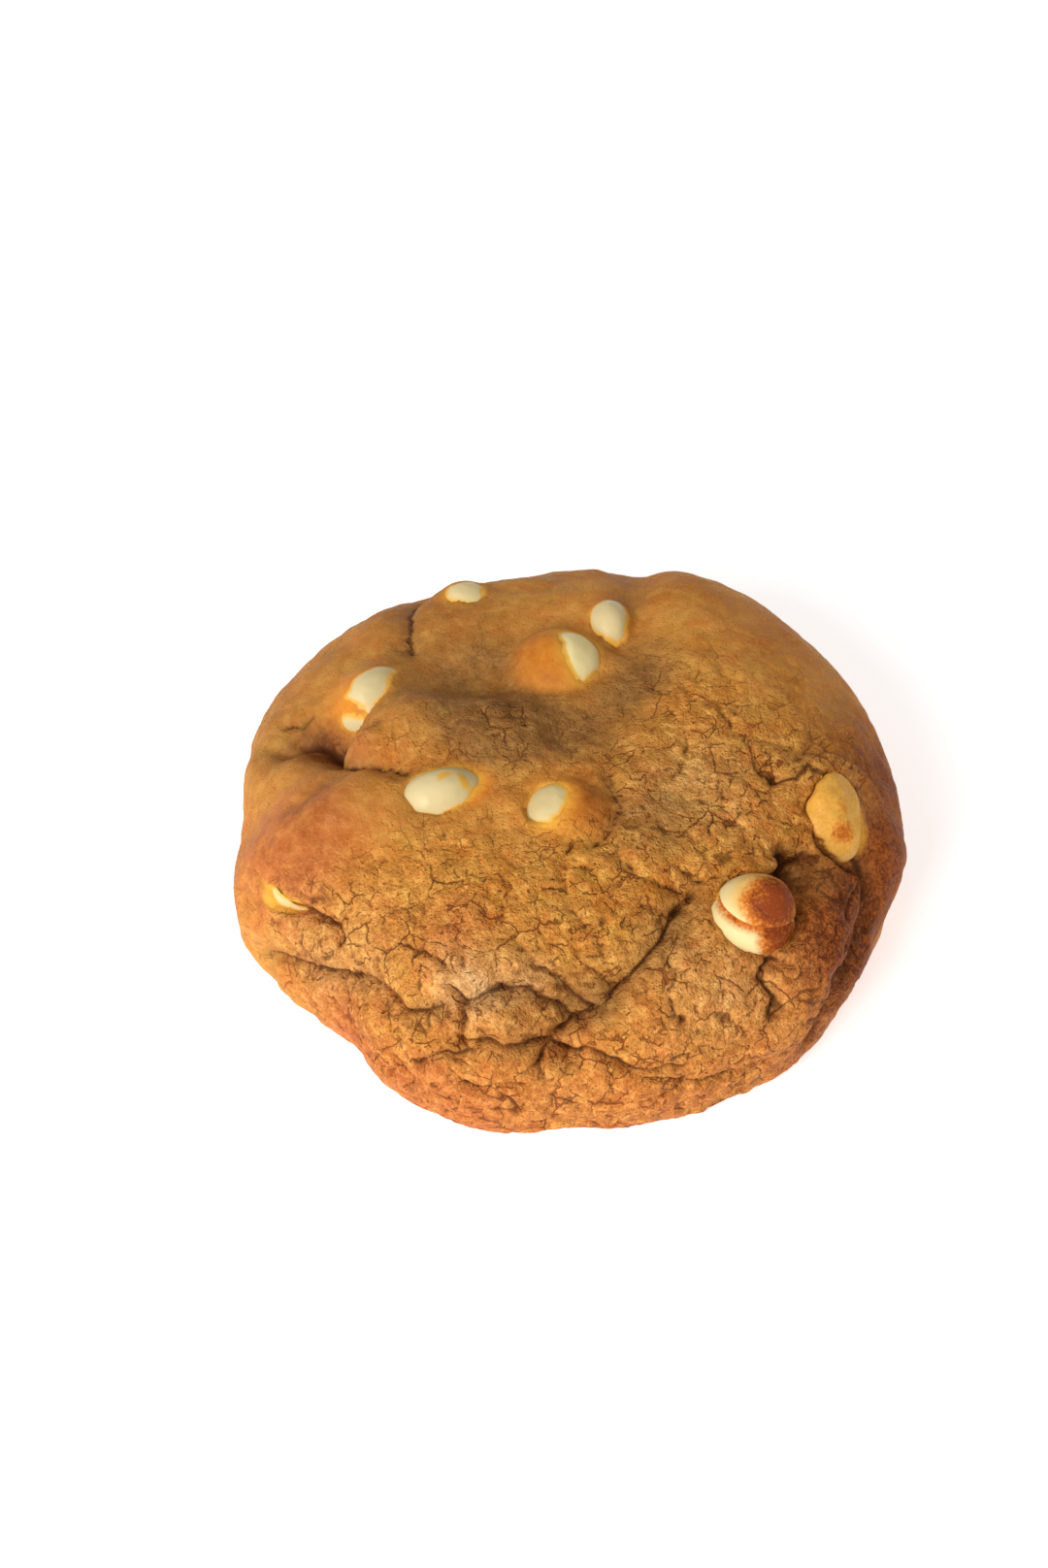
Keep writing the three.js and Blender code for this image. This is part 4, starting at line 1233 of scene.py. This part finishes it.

# %% [markdown]
# The crust's colour is built up as in the oven: golden dough first, then browned patches, painted shade
# in the hollows, pale flakes with a painted highlight, specks, caramel round the chips, and last painted shade
# in the cracks and gaps.

# %% The baked crust
def crust_material():
    """Golden ochre dough, mottled, with reddish browned patches, and painted shade in folds, hollows, cracks and
    gaps.
    """
    material, sheet, shader, bump = new_material("baked crust")
    mottle = place_group(sheet, MOTTLE, Contrast=1.0)
    thin = place_group(sheet, CRACKLE, Amount=sheet.mask("crackle"))
    clouds = sheet.math("MULTIPLY_ADD", mottle["Clouds"], 0.7, -0.15)
    tint = sheet.math("MULTIPLY_ADD", thin["Shade"], 0.6, clouds)
    golden = sheet.mix(tint, rgb(200, 126, 45), rgb(227, 163, 78))
    golden = sheet.mix(sheet.ramp(mottle["Flush"], 0.5, 0.95, 0.0, 0.45), golden, rgb(214, 118, 46))
    golden = sheet.mix(sheet.ramp(mottle["Flush"], 0.42, 0.05, 0.0, 0.5), golden, rgb(224, 172, 76))
    contrast = sheet.math("MULTIPLY_ADD", sheet.mask("crackle"), 0.5, 0.15)
    crumbs = sheet.math("MULTIPLY", sheet.ramp(mottle["Crumbs"], 0.5, 1.0), contrast)
    golden = sheet.mix(crumbs, golden, rgb(238, 180, 92))
    browned = sheet.mix(mottle["Crumbs"], rgb(188, 98, 46), rgb(216, 136, 76))
    colour = sheet.mix(sheet.math("MULTIPLY", sheet.mask("browned"), 0.85), golden, browned)
    spots = sheet.math("MULTIPLY_ADD", mottle["Specks"], 0.6, sheet.math("MULTIPLY", mottle["Crumbs"], 0.4))
    # Deep reddish brown: browning, with painted shade on the side away from the lamp and in the hollow
    deep_brown_and_shade = sheet.mix(sheet.ramp(spots, 0.15, 0.85), rgb(104, 42, 10), rgb(162, 84, 30))
    colour = sheet.mix(sheet.math("MULTIPLY", sheet.mask("deep_brown_and_shade"), 0.9), colour, deep_brown_and_shade)
    # Painted shade: greyish brown in the hollows and valleys, broken up by specks
    painted_shade = sheet.mix(mottle["Crumbs"], rgb(108, 76, 44), rgb(148, 108, 66))
    shade_share = sheet.math("MULTIPLY_ADD", sheet.mask("valley_shade"), 0.5, sheet.mask("painted_shade"), clamp=True)
    uneven = sheet.math("MULTIPLY_ADD", mottle["Specks"], 0.6, 0.4)
    colour = sheet.mix(sheet.math("MULTIPLY", shade_share, uneven, clamp=True), colour, painted_shade)
    # Pale flakes, partly a painted highlight
    pale_and_highlight = sheet.mix(mottle["Crumbs"], rgb(218, 174, 114), rgb(240, 210, 162))
    colour = sheet.mix(sheet.math("MULTIPLY", sheet.mask("pale_and_highlight"), 0.6), colour, pale_and_highlight)
    seared = sheet.mix(mottle["Crumbs"], rgb(132, 72, 30), rgb(176, 108, 52))
    colour = sheet.mix(sheet.math("MULTIPLY", sheet.mask("underside"), 0.8), colour, seared)
    opened = sheet.math("MAXIMUM", thin["Crack"], thin["Hole"])
    # Painted shade in the cracks, pits and open plate walls of the mesh
    crack_shade = sheet.ramp(sheet.mask("crack"), 0.3, 1.0, 0.0, 0.9)
    speckled = sheet.mix(sheet.ramp(spots, 0.2, 0.8), (0.66, 0.55, 0.46, 1), (1.34, 1.32, 1.28, 1))
    colour = sheet.mix(contrast, colour, speckled, blend="MULTIPLY")
    # Painted shade in the fine cracks and holes of the flakes
    colour = sheet.mix(sheet.math("MULTIPLY", opened, 0.8), colour, rgb(130, 64, 24))
    caramel = sheet.mix(mottle["Crumbs"], rgb(220, 126, 30), rgb(238, 152, 52))
    amber = sheet.mix(mottle["Crumbs"], rgb(152, 78, 22), rgb(186, 104, 38))
    caramel = sheet.mix(sheet.mask("amber"), caramel, amber)
    colour = sheet.mix(sheet.math("MULTIPLY", sheet.mask("glaze"), 0.9), colour, caramel)
    colour = sheet.mix(sheet.mask("honey"), colour, rgb(240, 176, 68))
    colour = sheet.mix(crack_shade, colour, rgb(82, 40, 15))
    # Painted shade in the gap round the bare chips
    colour = sheet.mix(sheet.ramp(sheet.mask("gap_shade"), 0.2, 1.0, 0.0, 0.6), colour, rgb(112, 62, 24))
    sheet.feed(shader.inputs["Base Color"], colour)
    sheet.feed(shader.inputs["Roughness"], sheet.ramp(mottle["Crumbs"], 0.0, 1.0, 0.5, 0.75))
    shader.inputs["Specular IOR Level"].default_value = 0.12
    grain = place_group(sheet, GRAIN, Coarse=0.8, Fine=0.5, Pits=0.35)
    wet = sheet.math("MAXIMUM", sheet.mask("glaze"), sheet.mask("honey"))
    unglazed = sheet.ramp(wet, 0.0, 0.8, 1.0, 0.2)
    rough = sheet.math("MULTIPLY", sheet.math("MULTIPLY_ADD", sheet.mask("crackle"), 1.15, 0.45), unglazed)
    height = sheet.math("MULTIPLY_ADD", grain["Height"], rough, thin["Swell"])
    sheet.feed(bump.inputs["Height"], sheet.math("MULTIPLY_ADD", opened, -0.9, height))
    bump.inputs["Distance"].default_value = 0.38 * MM
    bump.inputs["Strength"].default_value = 0.85
    return material


crust.data.materials.append(crust_material())
print("crust material nodes:", len(crust.data.materials[0].node_tree.nodes))

# %% [markdown]
# White chocolate is smooth, a little translucent and cream-coloured. Where dough or butter ran over
# it, a thin film turned to caramel: yellow where it is thin, orange where it is thick. A chip
# that stood out of the dough is toasted brown and slightly cracked at its tip.

# %% The chips
def chip_material(name, cream, film_colour):
    """Cream chocolate under a caramel film, with toasted patches, by the chip's own masks."""
    material, sheet, shader, bump = new_material(name)
    mottle = place_group(sheet, MOTTLE, Contrast=0.8)
    bare = sheet.mix(mottle["Clouds"], cream, rgb(228, 210, 160))
    # Painted light: brighter cream on some chips, by the chip's own mask
    bare = sheet.mix(sheet.mask("painted_light"), bare, rgb(254, 234, 172))
    film = sheet.mask("film")
    thin = sheet.mix(sheet.ramp(film, 0.05, 0.5), bare, rgb(242, 184, 72))
    thick = sheet.mix(mottle["Crumbs"], film_colour, rgb(200, 122, 42))
    colour = sheet.mix(sheet.ramp(film, 0.55, 1.0), thin, thick)
    speckled = sheet.math("MULTIPLY_ADD", mottle["Specks"], 0.9, 0.35)
    broken = sheet.math("MULTIPLY_ADD", mottle["Crumbs"], 0.4, speckled)
    toast = sheet.math("MULTIPLY", sheet.mask("toast"), broken)
    light_toast = sheet.mix(sheet.ramp(toast, 0.08, 0.45), colour, rgb(214, 124, 38))
    colour = sheet.mix(sheet.ramp(toast, 0.3, 0.85), light_toast, rgb(142, 62, 18))
    dried = place_group(sheet, CRACKLE, Amount=sheet.ramp(toast, 0.2, 0.6))
    colour = sheet.mix(sheet.math("MULTIPLY", dried["Crack"], 0.6), colour, rgb(104, 44, 14))
    sheet.feed(shader.inputs["Base Color"], colour)
    sheet.feed(shader.inputs["Roughness"], sheet.ramp(toast, 0.0, 0.6, 0.36, 0.7))
    shader.inputs["Specular IOR Level"].default_value = 0.2
    shader.inputs["Subsurface Weight"].default_value = 0.15
    shader.inputs["Subsurface Radius"].default_value = (1.0, 0.7, 0.35)
    shader.inputs["Subsurface Scale"].default_value = 1.2 * MM
    grain = place_group(sheet, GRAIN, Coarse=sheet.ramp(toast, 0.0, 0.5, 0.5, 1.6), Fine=0.1, Pits=0.0)
    sheet.feed(bump.inputs["Height"], sheet.math("MULTIPLY_ADD", dried["Crack"], -1.5, grain["Height"]))
    bump.inputs["Distance"].default_value = 0.08 * MM
    bump.inputs["Strength"].default_value = 0.5
    return material


FINISHES = {
    "white_chocolate": chip_material("cream chocolate", rgb(222, 202, 148), rgb(196, 112, 34)),
    "glazed_chocolate": chip_material("caramel glazed chocolate", rgb(222, 198, 136), rgb(206, 118, 34)),
    "toasted_chocolate": chip_material("toasted chocolate", rgb(232, 204, 142), rgb(204, 132, 50)),
}
for name, piece in chips.items():
    piece.data.materials.append(FINISHES[SLOTS.get(name, "white_chocolate")])
print("chip finishes:", sorted(FINISHES))

# %% [markdown]
# A photographer's table: a bright white floor that runs out of view, one broad soft lamp in front
# on the left, and a dim surround that fills the shadows.

# %% Floor
FLOOR_GLOW = 0.6


def pale_floor():
    """A wide white sheet, a hair under the base so that the two faces don't share one plane."""
    half, drop = 3.0, -0.05 * MM
    mesh = bpy.data.meshes.new("floor")
    corners = [(-half, -half, drop), (half, -half, drop), (half, half, drop), (-half, half, drop)]
    mesh.from_pydata(corners, [], [(0, 1, 2, 3)])
    floor = bpy.data.objects.new("floor", mesh)
    bpy.context.scene.collection.objects.link(floor)
    material = bpy.data.materials.new("white table")
    material.use_nodes = True
    shader = material.node_tree.nodes["Principled BSDF"]
    shader.inputs["Base Color"].default_value = (0.9, 0.89, 0.9, 1)
    shader.inputs["Roughness"].default_value = 0.6
    shader.inputs["Emission Color"].default_value = (1, 0.99, 1, 1)
    shader.inputs["Emission Strength"].default_value = FLOOR_GLOW
    mesh.materials.append(material)
    return floor


print("floor:", pale_floor().dimensions[:2])

# %% Lamp and surround
LAMP_PLACE = (-0.55, -0.75, 0.6)
LAMP_SIZE = 0.55
LAMP_WATTS = 9.9
SURROUND = (1.0, 0.965, 0.9, 1)
SURROUND_STRENGTH = 0.4


def soft_lamp(name, place_m, size, watts, colour):
    """A square area lamp that faces the cookie."""
    light = bpy.data.lights.new(name, "AREA")
    light.size = size
    light.energy = watts
    light.color = colour
    lamp = bpy.data.objects.new(name, light)
    bpy.context.scene.collection.objects.link(lamp)
    lamp.location = place_m
    direction = Vector((0, 0, 0.015)) - lamp.location
    lamp.rotation_euler = direction.to_track_quat("-Z", "Y").to_euler()


soft_lamp("window", LAMP_PLACE, LAMP_SIZE, LAMP_WATTS, (1.0, 0.98, 0.96))
world = bpy.data.worlds.new("bright studio")
world.use_nodes = True
world.node_tree.nodes["Background"].inputs["Color"].default_value = SURROUND
world.node_tree.nodes["Background"].inputs["Strength"].default_value = SURROUND_STRENGTH
bpy.context.scene.world = world
bpy.context.scene.view_settings.view_transform = "Standard"
print("lamp:", LAMP_WATTS, "W")

# %% Camera
ELEVATION = math.radians(48)
DISTANCE = 480
AIM = np.array([-6.0, 0.0, 22.0]) + PLAN_SHIFT
SENSOR = 36
FOCAL_PIXELS = 3600
PICTURE_HEIGHT = 1616
camera_data = bpy.data.cameras.new("camera")
camera_data.sensor_width = SENSOR
camera_data.lens = FOCAL_PIXELS / PICTURE_HEIGHT * SENSOR
camera_data.clip_start = 0.01
camera = bpy.data.objects.new("camera", camera_data)
bpy.context.scene.collection.objects.link(camera)
camera.location = (AIM + DISTANCE * np.array([0, -math.cos(ELEVATION), math.sin(ELEVATION)])) * MM
camera.rotation_euler = (math.pi / 2 - ELEVATION, 0, 0)
bpy.context.scene.camera = camera
print("lens:", round(camera_data.lens, 1), "mm")
